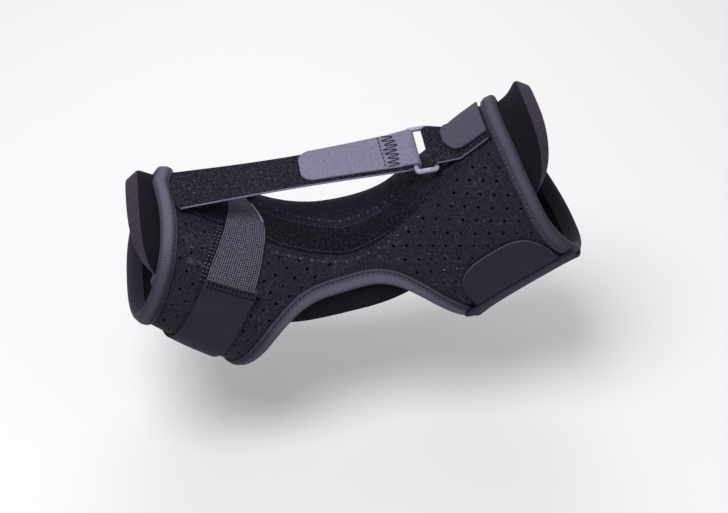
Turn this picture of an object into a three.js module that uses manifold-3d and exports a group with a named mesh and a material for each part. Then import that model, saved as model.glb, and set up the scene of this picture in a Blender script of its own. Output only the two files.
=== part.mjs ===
// A soft night splint for one foot, in the shape that it has when worn.
// A perforated wrap closes round the forefoot and round the leg, and leaves the heel open.
// A thick pad lies under the top half, and a strap pulls the toe end up towards the shin.
//
// Frame: millimetres, +X from the toe end to the leg end, -Y is the outer side of the foot,
// +Z up. The origin is the middle of the ankle, where the foot's and the leg's middle lines meet.
//
// Every cloth layer is laid on one hollow. A spot on it has a place along the middle line,
// in mm from the middle of the bend (toes negative), and an angle round the limb:
// 0 is the top of the foot and the shin, 90 the outer side, 180 the sole and the calf.

import * as THREE from "three";
import Module from "manifold-3d";
import { mergeVertices } from "three/addons/utils/BufferGeometryUtils.js";

const { degToRad, radToDeg, clamp, lerp, smoothstep } = THREE.MathUtils;

// Driving sizes of the worn shape.
const FOOT_ARM = 143; // from the middle of the bend to the toe opening
const LEG_ARM = 151; // from the middle of the bend to the leg opening
const BEND_RADIUS = 117; // of the middle line at the ankle
const FOOT_PITCH = 30.5; // degrees that the foot rises towards the toes
const LEG_PITCH = 38.2; // degrees that the leg rises from the ankle
const HOLLOW_RADIUS = 54; // of the hollow at the leg end

// Cloth, foam and the clearance between layers.
const WRAP_CLOTH = 3;
const PAD_FOAM = 9;
const BINDING_CLOTH = 1.3;
const POCKET_CLOTH = 1;
const BAND_CLOTH = 1.1;
const STRAP_CLOTH = 1.6;
const TAB_CLOTH = 1.3;
const WING_CLOTH = 2.2;
const LAYER_GAP = 0.45;
const STEP_DOWN = 6; // how far a layer takes to come down off the one below it

// Widths and reaches of the pieces.
const BINDING_WIDTH = 10;
const HEEL_LENGTH = 121; // of the heel opening, along the sole
const HEEL_PLACE = 1; // of the heel opening's middle
const HEEL_ANGLE = 121.5; // half of what the heel opening takes of the turn round the limb
const HEEL_SQUARE_TOES = 3.9; // exponent of the opening's rounded outline, toe side
const HEEL_SQUARE_LEG = 3.0; // and leg side
const PAD_ANGLE = 77; // the pad's side edges
const PAD_TOE_REACH = 9; // past the toe binding
const PAD_LEG_REACH = 18.5; // past the leg binding
const PAD_FLARE = 5; // how far the pad's leg end stands out past the binding
const PAD_BEVEL = 5.5; // how far the pad's ends lean out
const PAD_WAIST = 2.8; // degrees that the pad's side edges are drawn in at the ankle
const POCKET_WIDTH = 18;
const POCKET_ANGLE = 25; // of the stay pocket's middle line at the ankle
const POCKET_DRIFT = 20; // degrees that the pocket comes back towards the top at its ends
const BAND_WIDTH = 31; // of the elastic
const BAND_GATHER = 7.5; // how far the elastic's toe edge is drawn in at the top
const SOLE_STRAP_WIDTH = 34;
const BAND_PLACE = -95; // of the middle of the elastic and the sole strap
const BAND_ANGLE = 57; // where the elastic meets the sole strap
const BAND_LAP = 6; // of the sole strap over the elastic's ends
const STRAP_WIDTH = 31; // of the tension strap and the leg strap
const FOLD_LENGTH = 73; // of the tension strap's fold-back over itself
const FOLD_UNDER = 22; // of the fold-back under the strap
const TAB_CORNER = 9; // of the fold-back's rounded end
const TAB_INSET = 2.5; // that the strap's outer edge shows beside the fold-back
const TAB_SETTLES = 14; // from the ring's bar to where the fold-back lies flat on the strap
const LEG_FOLD = 7; // of the leg strap's sewn end under itself
const RING_BAR = 2.9;
const RING_SLOT = 10; // clear width between the ring's long bars
const RING_SLACK = 1.2; // between the strap's edges and the ring, both sides together
const RING_THICKNESS = 2.6;
const LEG_TAB_WIDTH = 31;
const LEG_TAB_OFFSET = 4; // of its middle line, towards the inner side
const LEG_TAB_LENGTH = 28.5;
const TIP_LIFT = 3.6; // layer gaps between the leg tab's tip and the strap under it
const FLAP_LENGTH = 62; // of the closing flap, along the calf
const FLAP_REACH = 34; // degrees that the flap reaches forward of its crease
const CREASE_ANGLE = 117;
const WING_TURN = 130; // degrees that the calf wing covers, from the crease round the back
const WING_LUMP = 1.6; // how much thicker its folded ends are
const WING_INSET = 3; // how far those ends draw in behind the crease

// The strap's free span.
const RING_PLACE = 105.3; // of the ring's middle, along the leg arm
const RING_HEIGHT = 15; // of the ring's middle, above the hollow
const RING_TILT = 15; // degrees that the ring's outer end hangs down
const STRAP_START_ANGLE = 3; // of the middle of the tension strap's sewn end
const STRAP_START_TILT = 12; // degrees that the sewn end's outer edge hangs down
const STRAP_SAG = 0.8;
const STRAP_FLATTENS = 9; // degrees that the strap untwists in the middle of its free span
const MEETS_SHIN = 124; // where the leg strap comes down on the shin

// Cross sections of the hollow. Place is a share of the arm that the section is on, square is
// the exponent of the rounded outline, and the others are shares of HOLLOW_RADIUS.
// Ridge is how far the highest line lies towards the inner side, widest is the height of the
// widest points.
const SECTIONS = [
  { place: -1.3, top: 0.54, bottom: 0.54, outer: 0.96, inner: 0.92, widest: -0.19, ridge: 0.2, square: 2.3 },
  { place: -1.0, top: 0.6, bottom: 0.63, outer: 1.03, inner: 0.92, widest: -0.22, ridge: 0.19, square: 2.3 },
  { place: -0.65, top: 0.73, bottom: 0.83, outer: 1.08, inner: 0.9, widest: -0.26, ridge: 0.2, square: 2.3 },
  { place: -0.3, top: 0.89, bottom: 0.96, outer: 1.03, inner: 0.82, widest: -0.24, ridge: 0.14, square: 2.2 },
  { place: 0.05, top: 0.95, bottom: 0.95, outer: 0.91, inner: 0.81, widest: -0.13, ridge: 0.1, square: 2.2 },
  { place: 0.45, top: 0.92, bottom: 0.91, outer: 0.88, inner: 0.88, widest: 0, ridge: 0.07, square: 2.1 },
  { place: 1.0, top: 0.97, bottom: 0.99, outer: 0.98, inner: 0.98, widest: 0, ridge: 0.05, square: 2.1 },
  { place: 1.35, top: 1, bottom: 1.03, outer: 1.01, inner: 1.02, widest: 0, ridge: 0.05, square: 2.1 },
];

// The rims of the two end openings: place as a share of the arm, against the angle.
const TOE_RIM = [
  { place: 0, reach: 1.065 },
  { place: 20, reach: 1.034 },
  { place: 40, reach: 1.012 },
  { place: 65, reach: 0.992 },
  { place: 90, reach: 0.976 },
  { place: 130, reach: 0.968 },
  { place: 180, reach: 0.965 },
];
const LEG_RIM = [
  { place: 0, reach: 1.05 },
  { place: 30, reach: 1.042 },
  { place: 60, reach: 1.01 },
  { place: 90, reach: 0.974 },
  { place: 130, reach: 0.97 },
  { place: 180, reach: 0.968 },
];

// Where a layer's faces lie above the hollow, from the skin side outwards.
const BINDING_INSIDE = -LAYER_GAP - BINDING_CLOTH;
const BINDING_OUTSIDE = WRAP_CLOTH + LAYER_GAP + BINDING_CLOTH;
const PAD_OUTSIDE = BINDING_INSIDE - LAYER_GAP;
const PAD_INSIDE = PAD_OUTSIDE - PAD_FOAM;
const ON_WRAP = WRAP_CLOTH + LAYER_GAP;
const ON_POCKET = ON_WRAP + POCKET_CLOTH + LAYER_GAP;
const ON_BINDING = BINDING_OUTSIDE + LAYER_GAP;
const EDGE_TUCK = BINDING_CLOTH + LAYER_GAP; // from a binding's rim to the wrap's edge inside it

const wasm = await Module();
wasm.setup();

// Smooth interpolation through the rows of a table, with a slope that never jumps.
function between(rows, column, place) {
  const last = rows.length - 1;
  const at = clamp(place, rows[0].place, rows[last].place);
  let i = 0;
  while (i < last - 1 && at > rows[i + 1].place) i += 1;
  const slope = (k) => {
    const a = rows[Math.max(k - 1, 0)];
    const b = rows[Math.min(k + 1, last)];
    return (b[column] - a[column]) / (b.place - a.place);
  };
  const step = rows[i + 1].place - rows[i].place;
  const t = (at - rows[i].place) / step;
  const t2 = t * t;
  const t3 = t2 * t;
  const start = (2 * t3 - 3 * t2 + 1) * rows[i][column] + (t3 - 2 * t2 + t) * step * slope(i);
  const end = (3 * t2 - 2 * t3) * rows[i + 1][column] + (t3 - t2) * step * slope(i + 1);
  return start + end;
}

// The middle line: two straight arms joined by an arc, in the plane y = 0.
function middleLine(place) {
  const low = degToRad(-FOOT_PITCH);
  const high = degToRad(LEG_PITCH);
  const halfArc = (BEND_RADIUS * (high - low)) / 2;
  const onArc = clamp(place, -halfArc, halfArc);
  const heading = (low + high) / 2 + onArc / BEND_RADIUS;
  const armToArc = BEND_RADIUS * Math.tan((high - low) / 2);
  const centreX = -armToArc * Math.cos(low) - BEND_RADIUS * Math.sin(low);
  const centreZ = -armToArc * Math.sin(low) + BEND_RADIUS * Math.cos(low);
  const past = place - onArc;
  const x = centreX + BEND_RADIUS * Math.sin(heading) + past * Math.cos(heading);
  const z = centreZ - BEND_RADIUS * Math.cos(heading) + past * Math.sin(heading);
  return { x, z, heading };
}

// A point of the hollow itself: four quarters of rounded outline, joined smoothly.
function hollow(place, angle) {
  const { x, z, heading } = middleLine(place);
  const share = place / (place < 0 ? FOOT_ARM : LEG_ARM);
  const size = (column) => between(SECTIONS, column, share) * HOLLOW_RADIUS;
  const squareness = between(SECTIONS, "square", share);
  const rounded = (value) => Math.sign(value) * Math.abs(value) ** (2 / squareness);
  const up = Math.cos(degToRad(angle));
  const out = Math.sin(degToRad(angle));
  const widest = size("widest");
  const ridge = up > 0 ? size("ridge") : 0;
  const halfWidth = out > 0 ? size("outer") + ridge : size("inner") - ridge;
  const halfHeight = up > 0 ? size("top") - widest : size("bottom") + widest;
  const y = ridge - rounded(out) * halfWidth;
  const rise = widest + rounded(up) * halfHeight;
  return new THREE.Vector3(x - Math.sin(heading) * rise, y, z + Math.cos(heading) * rise);
}

// A point at a height above the hollow, along its normal. Negative heights lie inside.
function above(place, angle, height) {
  const step = 0.6;
  const turn = 0.8;
  const point = hollow(place, angle);
  const along = hollow(place + step, angle).sub(hollow(place - step, angle));
  const round = hollow(place, angle + turn).sub(hollow(place, angle - turn));
  return point.addScaledVector(round.cross(along).normalize(), height);
}

// The angle that a width takes at the hollow, and the places of the two end rims.
const degreesOf = (width) => radToDeg(width / HOLLOW_RADIUS);
const fold = (angle) => Math.abs(((angle + 540) % 360) - 180);
const toeRim = (angle) => -FOOT_ARM * between(TOE_RIM, "reach", fold(angle));
const legRim = (angle) => LEG_ARM * between(LEG_RIM, "reach", fold(angle));

// Builds a closed mesh from points and quads, and turns it so that its faces point out.
function closedMesh(points, quads) {
  const triangles = quads.flatMap(([a, b, c, d]) => [
    [a, b, c],
    [a, c, d],
  ]);
  const volume = triangles.reduce((sum, [a, b, c]) => {
    const normal = new THREE.Vector3().crossVectors(points[b], points[c]);
    return sum + points[a].dot(normal);
  }, 0);
  const index = triangles.flatMap(([a, b, c]) => (volume > 0 ? [a, b, c] : [a, c, b]));
  const geometry = new THREE.BufferGeometry().setFromPoints(points);
  geometry.setIndex(index);
  return geometry;
}

// A cloth sheet with two faces and a wall round its edges. at(u, t) gives the pair of points
// [inside, outside], with u across and t along, both from 0 to 1. A ring closes on itself in u.
function sheet(across, along, at, ring = false) {
  const columns = ring ? across : across + 1;
  const points = [];
  for (let j = 0; j <= along; j += 1) {
    for (let i = 0; i < columns; i += 1) points.push(...at(i / across, j / along));
  }
  const id = (i, j, face) => 2 * (j * columns + (i % columns)) + face;
  const quads = [];
  for (let j = 0; j < along; j += 1) {
    for (let i = 0; i < across; i += 1) {
      quads.push([id(i, j, 0), id(i, j + 1, 0), id(i + 1, j + 1, 0), id(i + 1, j, 0)]);
      quads.push([id(i, j, 1), id(i + 1, j, 1), id(i + 1, j + 1, 1), id(i, j + 1, 1)]);
    }
  }
  for (let i = 0; i < across; i += 1) {
    quads.push([id(i, 0, 0), id(i + 1, 0, 0), id(i + 1, 0, 1), id(i, 0, 1)]);
    quads.push([id(i, along, 1), id(i + 1, along, 1), id(i + 1, along, 0), id(i, along, 0)]);
  }
  for (let j = 0; j < along && !ring; j += 1) {
    quads.push([id(0, j, 0), id(0, j, 1), id(0, j + 1, 1), id(0, j + 1, 0)]);
    quads.push([id(across, j, 1), id(across, j, 0), id(across, j + 1, 0), id(across, j + 1, 1)]);
  }
  return closedMesh(points, quads);
}

// A sheet laid on the hollow. spot(u, t) gives its place, angle and the heights of its faces.
function layer(across, along, spot, ring = false) {
  const faces = (u, t) => {
    const { place, angle, low, high } = spot(u, t);
    return [above(place, angle, low), above(place, angle, high)];
  };
  return sheet(across, along, faces, ring);
}

// A profile carried round a closed loop. at(i, k) gives the point of profile corner k at step i.
function sweptLoop(steps, corners, at) {
  const points = [];
  for (let i = 0; i < steps; i += 1) {
    for (let k = 0; k < corners; k += 1) points.push(at(i, k));
  }
  const id = (i, k) => (i % steps) * corners + (k % corners);
  const quads = [];
  for (let i = 0; i < steps; i += 1) {
    for (let k = 0; k < corners; k += 1) {
      quads.push([id(i, k), id(i + 1, k), id(i + 1, k + 1), id(i, k + 1)]);
    }
  }
  return closedMesh(points, quads);
}

// The folded binding's section: u runs from its rim into the cloth, height is above the hollow.
function bindingProfile() {
  const middle = WRAP_CLOTH / 2;
  const nose = BINDING_OUTSIDE - middle;
  const profile = [];
  profile.push({ u: BINDING_WIDTH, height: middle + nose });
  const noseSteps = 3;
  for (let k = 0; k <= noseSteps; k += 1) {
    const turn = (Math.PI * k) / noseSteps;
    profile.push({ u: nose * (1 - Math.sin(turn)), height: middle + nose * Math.cos(turn) });
  }
  profile.push({ u: BINDING_WIDTH, height: middle - nose });
  profile.push({ u: BINDING_WIDTH, height: middle - nose + BINDING_CLOTH });
  profile.push({ u: BINDING_CLOTH, height: middle - nose + BINDING_CLOTH });
  profile.push({ u: BINDING_CLOTH, height: middle + nose - BINDING_CLOTH });
  profile.push({ u: BINDING_WIDTH, height: middle + nose - BINDING_CLOTH });
  return profile;
}

// A binding round one end opening. inwards is 1 at the toe end and -1 at the leg end.
function rimBinding(rim, inwards) {
  const profile = bindingProfile();
  const steps = 44;
  return sweptLoop(steps, profile.length, (i, k) => {
    const angle = (360 * i) / steps;
    const { u, height } = profile[k];
    return above(rim(angle) + inwards * u, angle, height);
  });
}

// The heel opening's rim in the unrolled cloth: an oval, squarer at its toe side.
function heelOval(turn) {
  const c = Math.cos(turn);
  const s = Math.sin(turn);
  const squareness = c < 0 ? HEEL_SQUARE_TOES : HEEL_SQUARE_LEG;
  const rounded = (value) => Math.sign(value) * Math.abs(value) ** (2 / squareness);
  return {
    place: HEEL_PLACE + (rounded(c) * HEEL_LENGTH) / 2,
    angle: 180 + rounded(s) * HEEL_ANGLE,
  };
}

// The same rim as evenly spaced spots, each with the direction in the cloth away from the hole.
function heelRim(steps) {
  const fine = 1440;
  const spots = [];
  const lengths = [0];
  for (let i = 0; i <= fine; i += 1) {
    const spot = heelOval((2 * Math.PI * i) / fine);
    spot.point = hollow(spot.place, spot.angle);
    spots.push(spot);
    if (i > 0) lengths.push(lengths[i - 1] + spot.point.distanceTo(spots[i - 1].point));
  }
  const rim = [];
  let near = 0;
  for (let i = 0; i < steps; i += 1) {
    const wanted = (lengths[fine] * i) / steps;
    while (lengths[near + 1] < wanted) near += 1;
    const share = (wanted - lengths[near]) / (lengths[near + 1] - lengths[near]);
    const place = lerp(spots[near].place, spots[near + 1].place, share);
    const angle = lerp(spots[near].angle, spots[near + 1].angle, share);
    rim.push({ place, angle });
  }
  rim.forEach((spot, i) => {
    const before = rim[(i + steps - 1) % steps];
    const after = rim[(i + 1) % steps];
    const tangent = hollow(after.place, after.angle).sub(hollow(before.place, before.angle));
    const along = hollow(spot.place + 1, spot.angle).sub(hollow(spot.place - 1, spot.angle));
    const round = hollow(spot.place, spot.angle + 1).sub(hollow(spot.place, spot.angle - 1));
    along.multiplyScalar(0.5);
    round.multiplyScalar(0.5);
    const placeShare = round.dot(tangent);
    const angleShare = -along.dot(tangent);
    const outwards = along.multiplyScalar(placeShare).addScaledVector(round, angleShare);
    const away = Math.sign(placeShare * (spot.place - HEEL_PLACE) + angleShare * (spot.angle - 180));
    spot.placeStep = (away * placeShare) / outwards.length();
    spot.angleStep = (away * angleShare) / outwards.length();
  });
  return rim;
}

const heelSteps = 70;
const heelSpots = heelRim(heelSteps);

// A spot at a distance from the heel opening's rim, into the cloth.
function besideHeel(i, distance) {
  const { place, angle, placeStep, angleStep } = heelSpots[i % heelSteps];
  return { place: place + placeStep * distance, angle: angle + angleStep * distance };
}

function heelBinding() {
  const profile = bindingProfile();
  return sweptLoop(heelSteps, profile.length, (i, k) => {
    const { place, angle } = besideHeel(i, profile[k].u);
    return above(place, angle, profile[k].height);
  });
}

// A plug that fills the heel opening through the wrap, for cutting it out.
function heelPlug() {
  const rings = 9;
  const depth = 6;
  const points = [];
  for (const height of [-depth, WRAP_CLOTH + depth]) {
    for (let r = 1; r <= rings; r += 1) {
      for (let i = 0; i < heelSteps; i += 1) {
        const edge = besideHeel(i, EDGE_TUCK);
        const place = lerp(HEEL_PLACE, edge.place, r / rings);
        const angle = lerp(180, edge.angle, r / rings);
        points.push(above(place, angle, height));
      }
    }
    points.push(above(HEEL_PLACE, 180, height));
  }
  const half = points.length / 2;
  const id = (face, r, i) => face * half + (r - 1) * heelSteps + (i % heelSteps);
  const triangles = [];
  for (let i = 0; i < heelSteps; i += 1) {
    for (let r = 1; r < rings; r += 1) {
      triangles.push([id(0, r, i), id(0, r + 1, i), id(0, r + 1, i + 1), id(0, r, i + 1)]);
      triangles.push([id(1, r, i), id(1, r, i + 1), id(1, r + 1, i + 1), id(1, r + 1, i)]);
    }
    triangles.push([id(0, rings, i), id(1, rings, i), id(1, rings, i + 1), id(0, rings, i + 1)]);
    triangles.push([half - 1, id(0, 1, i), id(0, 1, i + 1), half - 1]);
    triangles.push([2 * half - 1, id(1, 1, i + 1), id(1, 1, i), 2 * half - 1]);
  }
  return closedMesh(points, triangles);
}

// Turns a closed mesh into a solid that can be cut, and a cut solid back into a mesh.
function solidOf(geometry) {
  const bare = new THREE.BufferGeometry();
  bare.setAttribute("position", geometry.getAttribute("position"));
  bare.setIndex(geometry.getIndex());
  const merged = mergeVertices(bare, 1e-4);
  const index = Array.from(merged.index.array);
  const triVerts = [];
  for (let i = 0; i < index.length; i += 3) {
    const [a, b, c] = index.slice(i, i + 3);
    if (a !== b && b !== c && c !== a) triVerts.push(a, b, c);
  }
  const mesh = new wasm.Mesh({
    numProp: 3,
    vertProperties: merged.attributes.position.array,
    triVerts: new Uint32Array(triVerts),
  });
  return new wasm.Manifold(mesh);
}

function meshOf(solid) {
  const { vertProperties, triVerts } = solid.getMesh();
  const geometry = new THREE.BufferGeometry();
  geometry.setAttribute("position", new THREE.BufferAttribute(vertProperties, 3));
  geometry.setIndex(new THREE.BufferAttribute(triVerts, 1));
  return geometry;
}

// The wrap: a tube of cloth with the heel cut out of it.
function wrapShell() {
  const tube = layer(
    36,
    19,
    (u, t) => {
      const angle = 360 * u;
      const start = toeRim(angle) + EDGE_TUCK;
      const end = legRim(angle) - EDGE_TUCK;
      return { place: lerp(start, end, t), angle, low: 0, high: WRAP_CLOTH };
    },
    true,
  );
  return meshOf(solidOf(tube).subtract(solidOf(heelPlug())));
}

// How far an end of the pad sticks out past its squared corners, as a share: 1 at the top, 0
// from a spread on, which is a share of the pad's own angle. A greater flatTop is squarer.
function padDome(angle, spread, flatTop) {
  const shoulder = 0.67;
  const side = clamp(fold(angle) / (PAD_ANGLE * spread), 0, 1);
  return (1 - side ** flatTop) ** shoulder;
}

// The pad: domed ends that lean out, and a leg end that flares where the binding lets it go.
function foamPad() {
  const toeCorner = toeRim(PAD_ANGLE);
  const legCorner = legRim(PAD_ANGLE) - BINDING_WIDTH;
  const toeTip = toeRim(0) - PAD_TOE_REACH;
  const legTip = legRim(0) + PAD_LEG_REACH;
  const heldPart = 0.8; // share of the pad's rows that lie under the wrap
  const waistAt = 0.43; // share of the rows where the pad is narrowest
  return sheet(16, 20, (u, t) => {
    const waist = PAD_WAIST * (1 - smoothstep(Math.abs(t - waistAt), 0, waistAt / 2));
    const angle = (PAD_ANGLE - waist) * (2 * u - 1);
    const toeDome = padDome(angle, 0.86, 2.1);
    const legDome = padDome(angle, 0.93, 2.5);
    const face = (lean, height) => {
      const start = lerp(toeCorner, toeTip, toeDome) - lean * toeDome;
      const end = lerp(legCorner, legTip, legDome) + lean * legDome;
      const rim = Math.min(legRim(angle), lerp(start, end, heldPart));
      const held = lerp(start, rim, t / heldPart);
      const place = t < heldPart ? held : lerp(rim, end, (t - heldPart) / (1 - heldPart));
      const flare = PAD_FLARE * smoothstep(place, legRim(angle) + BINDING_WIDTH / 2, legTip);
      return above(place, angle, height + flare);
    };
    return [face(PAD_BEVEL, PAD_INSIDE), face(0, PAD_OUTSIDE)];
  });
}

// The stay pocket's middle line: off the ridge at the ankle, back to the middle at both ends.
function pocketAngle(place) {
  const toToes = clamp(place / toeRim(0), 0, 1);
  const toLeg = clamp(place / legRim(0), 0, 1);
  return POCKET_ANGLE - POCKET_DRIFT * (place < 0 ? toToes : toLeg ** 1.5);
}

function stayPocket() {
  return layer(2, 26, (u, t) => {
    const across = degreesOf(POCKET_WIDTH) * (u - 0.5);
    const start = toeRim(pocketAngle(toeRim(0)) + across) + BINDING_WIDTH + LAYER_GAP;
    const end = legRim(pocketAngle(legRim(0)) + across) - BINDING_WIDTH - LAYER_GAP;
    const place = lerp(start, end, t);
    const angle = pocketAngle(place) + across;
    return { place, angle, low: ON_WRAP, high: ON_WRAP + POCKET_CLOTH };
  });
}

// The lift of the elastic where it crosses the stay pocket.
function overPocket(angle) {
  const apart = Math.abs(angle - pocketAngle(BAND_PLACE));
  const cleared = degreesOf(POCKET_WIDTH) * 0.7;
  const down = smoothstep(apart, cleared, cleared + degreesOf(STEP_DOWN));
  return lerp(ON_POCKET, ON_WRAP, down);
}

function elasticBand() {
  const end = BAND_ANGLE + degreesOf(BAND_LAP);
  return layer(1, 30, (u, t) => {
    const angle = lerp(-end, end, t);
    const low = overPocket(angle);
    const gathered = BAND_GATHER * (1 - smoothstep(fold(angle), 0, BAND_ANGLE));
    const place = BAND_PLACE + BAND_WIDTH * (u - 0.5) + gathered * (1 - u);
    return { place, angle, low, high: low + BAND_CLOTH };
  });
}

function soleStrap() {
  const lapEnd = BAND_ANGLE + degreesOf(BAND_LAP);
  const overBand = ON_WRAP + BAND_CLOTH + LAYER_GAP;
  return layer(2, 44, (u, t) => {
    const angle = lerp(BAND_ANGLE, 360 - BAND_ANGLE, t);
    const down = smoothstep(fold(angle), lapEnd + 0.5, lapEnd + degreesOf(STEP_DOWN));
    const low = lerp(overBand, ON_WRAP, down);
    const place = BAND_PLACE + SOLE_STRAP_WIDTH * (u - 0.5);
    return { place, angle, low, high: low + STRAP_CLOTH };
  });
}

// The tension strap's sewn end: its outer edge rests on the stay pocket beside the toe binding.
const strapAngle = (side) => STRAP_START_ANGLE - degreesOf((side * STRAP_WIDTH) / 2);
const strapStartPlace = toeRim(strapAngle(-1)) + BINDING_WIDTH + LAYER_GAP;
const startTilt = degToRad(STRAP_START_TILT);
const startSide = new THREE.Vector3(0, Math.cos(startTilt), Math.sin(startTilt));
const strapStart = above(strapStartPlace, strapAngle(-1), ON_POCKET + STRAP_CLOTH / 2 + LAYER_GAP);
strapStart.addScaledVector(startSide, STRAP_WIDTH / 2);

// The ring's own axes: from bar to bar in line with the pull, along its long bars, and its normal.
const ringCentre = above(RING_PLACE, 0, RING_HEIGHT);
const ringShort = ringCentre.clone().sub(strapStart).normalize();
const ringTilt = degToRad(RING_TILT);
const ringNormal = new THREE.Vector3(0, Math.cos(ringTilt), Math.sin(ringTilt));
ringNormal.crossVectors(ringShort, ringNormal).normalize();
const ringLong = new THREE.Vector3().crossVectors(ringNormal, ringShort);
const ringLength = STRAP_WIDTH + RING_SLACK + 2 * RING_BAR;
const ringWidth = RING_SLOT + 2 * RING_BAR;
const barPlace = (RING_SLOT + RING_BAR) / 2;
const barRadius = Math.hypot(RING_BAR, RING_THICKNESS) / 2 + LAYER_GAP;
const legStrapTop = legRim(0) - RING_PLACE - barPlace - BINDING_WIDTH;
const strapEnd = ringCentre.clone().addScaledVector(ringShort, -barPlace);
const strapLength = strapStart.distanceTo(strapEnd);

function roundedOutline(width, length, radius, outline = new THREE.Shape()) {
  const x = width / 2;
  const y = length / 2;
  outline.moveTo(x, y - radius);
  outline.absarc(x - radius, y - radius, radius, 0, Math.PI / 2);
  outline.absarc(-x + radius, y - radius, radius, Math.PI / 2, Math.PI);
  outline.absarc(-x + radius, -y + radius, radius, Math.PI, Math.PI * 1.5);
  outline.absarc(x - radius, -y + radius, radius, Math.PI * 1.5, Math.PI * 2);
  outline.closePath();
  return outline;
}

function ringBuckle() {
  const bevel = RING_THICKNESS * 0.3;
  const shape = roundedOutline(ringWidth - 2 * bevel, ringLength - 2 * bevel, RING_BAR - bevel);
  const slotWidth = RING_SLOT + 2 * bevel;
  const slotLength = ringLength - 2 * RING_BAR + 2 * bevel;
  shape.holes.push(roundedOutline(slotWidth, slotLength, 1 + bevel, new THREE.Path()));
  const geometry = new THREE.ExtrudeGeometry(shape, {
    depth: RING_THICKNESS - 2 * bevel,
    bevelThickness: bevel,
    bevelSize: bevel,
    bevelSegments: 1,
    curveSegments: 3,
  });
  geometry.translate(0, 0, -RING_THICKNESS / 2 + bevel);
  return geometry;
}

// A point in the ring's own frame.
function atRing(short, long, normal) {
  return ringCentre
    .clone()
    .addScaledVector(ringShort, short)
    .addScaledVector(ringLong, long)
    .addScaledVector(ringNormal, normal);
}

// A point of the tension strap: along is the distance from the ring's bar back towards the toes,
// side runs from -1 at the outer edge to 1, height is above the strap's middle face.
function onStrap(along, side, height) {
  const share = 1 - along / strapLength;
  const middle = strapEnd.clone().addScaledVector(ringShort, -along);
  const belly = Math.sin(Math.PI * clamp(share, 0, 1));
  const sag = STRAP_SAG * belly;
  const across = startSide.clone().lerp(ringLong, clamp(share, 0, 1) ** 2).normalize();
  across.applyAxisAngle(ringShort, -degToRad(STRAP_FLATTENS) * belly);
  const normal = ringShort.clone().cross(across).normalize();
  return middle
    .addScaledVector(across, (side * STRAP_WIDTH) / 2)
    .addScaledVector(normal, height - sag);
}

function tensionStrap() {
  const beforeBar = barRadius + TAB_CLOTH + STRAP_CLOTH;
  return sheet(4, 16, (u, t) => {
    const side = 2 * u - 1;
    const reachToRim = toeRim(strapAngle(-1)) - toeRim(strapAngle(side));
    const along = lerp(strapLength + reachToRim - LAYER_GAP, beforeBar, t);
    const half = STRAP_CLOTH / 2;
    return [onStrap(along, side, -half), onStrap(along, side, half)];
  });
}

// The fold-back: out along the top of the strap, round the ring's bar and back under the strap.
function strapTab() {
  const beside = STRAP_CLOTH / 2 + LAYER_GAP;
  const arcLength = Math.PI * barRadius;
  const total = FOLD_LENGTH + arcLength + FOLD_UNDER;
  const narrowest = 0.45;
  const centre = TAB_INSET / STRAP_WIDTH;
  return sheet(2, 42, (u, t) => {
    const s = t * total;
    const corner = clamp(s / TAB_CORNER, 0, 1);
    const width = lerp(narrowest, 1, Math.sqrt(1 - (1 - corner) ** 2));
    const side = centre + (2 * u - 1) * width * (1 - centre);
    const heightAt = (along) => lerp(barRadius, beside, smoothstep(along, 0, TAB_SETTLES));
    const face = (thickness) => {
      if (s < FOLD_LENGTH) {
        const along = FOLD_LENGTH - s;
        return onStrap(along, side, heightAt(along) + thickness);
      }
      if (s < FOLD_LENGTH + arcLength) {
        const turn = (s - FOLD_LENGTH) / barRadius;
        const out = barRadius + thickness;
        return onStrap(0, side, out * Math.cos(turn)).addScaledVector(ringShort, out * Math.sin(turn));
      }
      const along = s - FOLD_LENGTH - arcLength;
      return onStrap(along, side, -heightAt(along) - thickness);
    };
    return [face(0), face(TAB_CLOTH)];
  });
}

// A point over the leg strap: share runs from 0 at the ring's bar to 1 at the leg binding, side
// from -1 at the outer edge to 1, height is above the strap's lower face.
function onLegStrap(share, side, height) {
  const angle = -degreesOf((side * STRAP_WIDTH) / 2);
  const touches = 0.42;
  const end = legRim(angle) - BINDING_WIDTH - LAYER_GAP;
  const place = lerp(MEETS_SHIN, end, clamp((share - touches) / (1 - touches), 0, 1));
  const onShin = above(place, angle, ON_POCKET + height);
  const free = clamp(share / touches, 0, 1);
  return atRing(barPlace, (side * STRAP_WIDTH) / 2, barRadius + height).lerp(onShin, free);
}

// The leg strap: round the ring's other bar, down on to the shin and up to the leg binding.
function legStrap() {
  const arcLength = Math.PI * barRadius;
  const total = LEG_FOLD + arcLength + legStrapTop;
  return sheet(3, 30, (u, t) => {
    const s = t * total;
    const side = 2 * u - 1;
    const long = (side * STRAP_WIDTH) / 2;
    const face = (thickness) => {
      const out = barRadius + thickness;
      if (s < LEG_FOLD) {
        const fromBar = LEG_FOLD - s;
        const under = lerp(2 * barRadius, LAYER_GAP, smoothstep(fromBar, 0, LEG_FOLD));
        return onLegStrap(fromBar / legStrapTop, side, -under - thickness);
      }
      if (s < LEG_FOLD + arcLength) {
        const turn = (s - LEG_FOLD) / barRadius;
        return atRing(barPlace - out * Math.sin(turn), long, -out * Math.cos(turn));
      }
      return onLegStrap((s - LEG_FOLD - arcLength) / legStrapTop, side, thickness);
    };
    return [face(0), face(STRAP_CLOTH)];
  });
}

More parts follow.
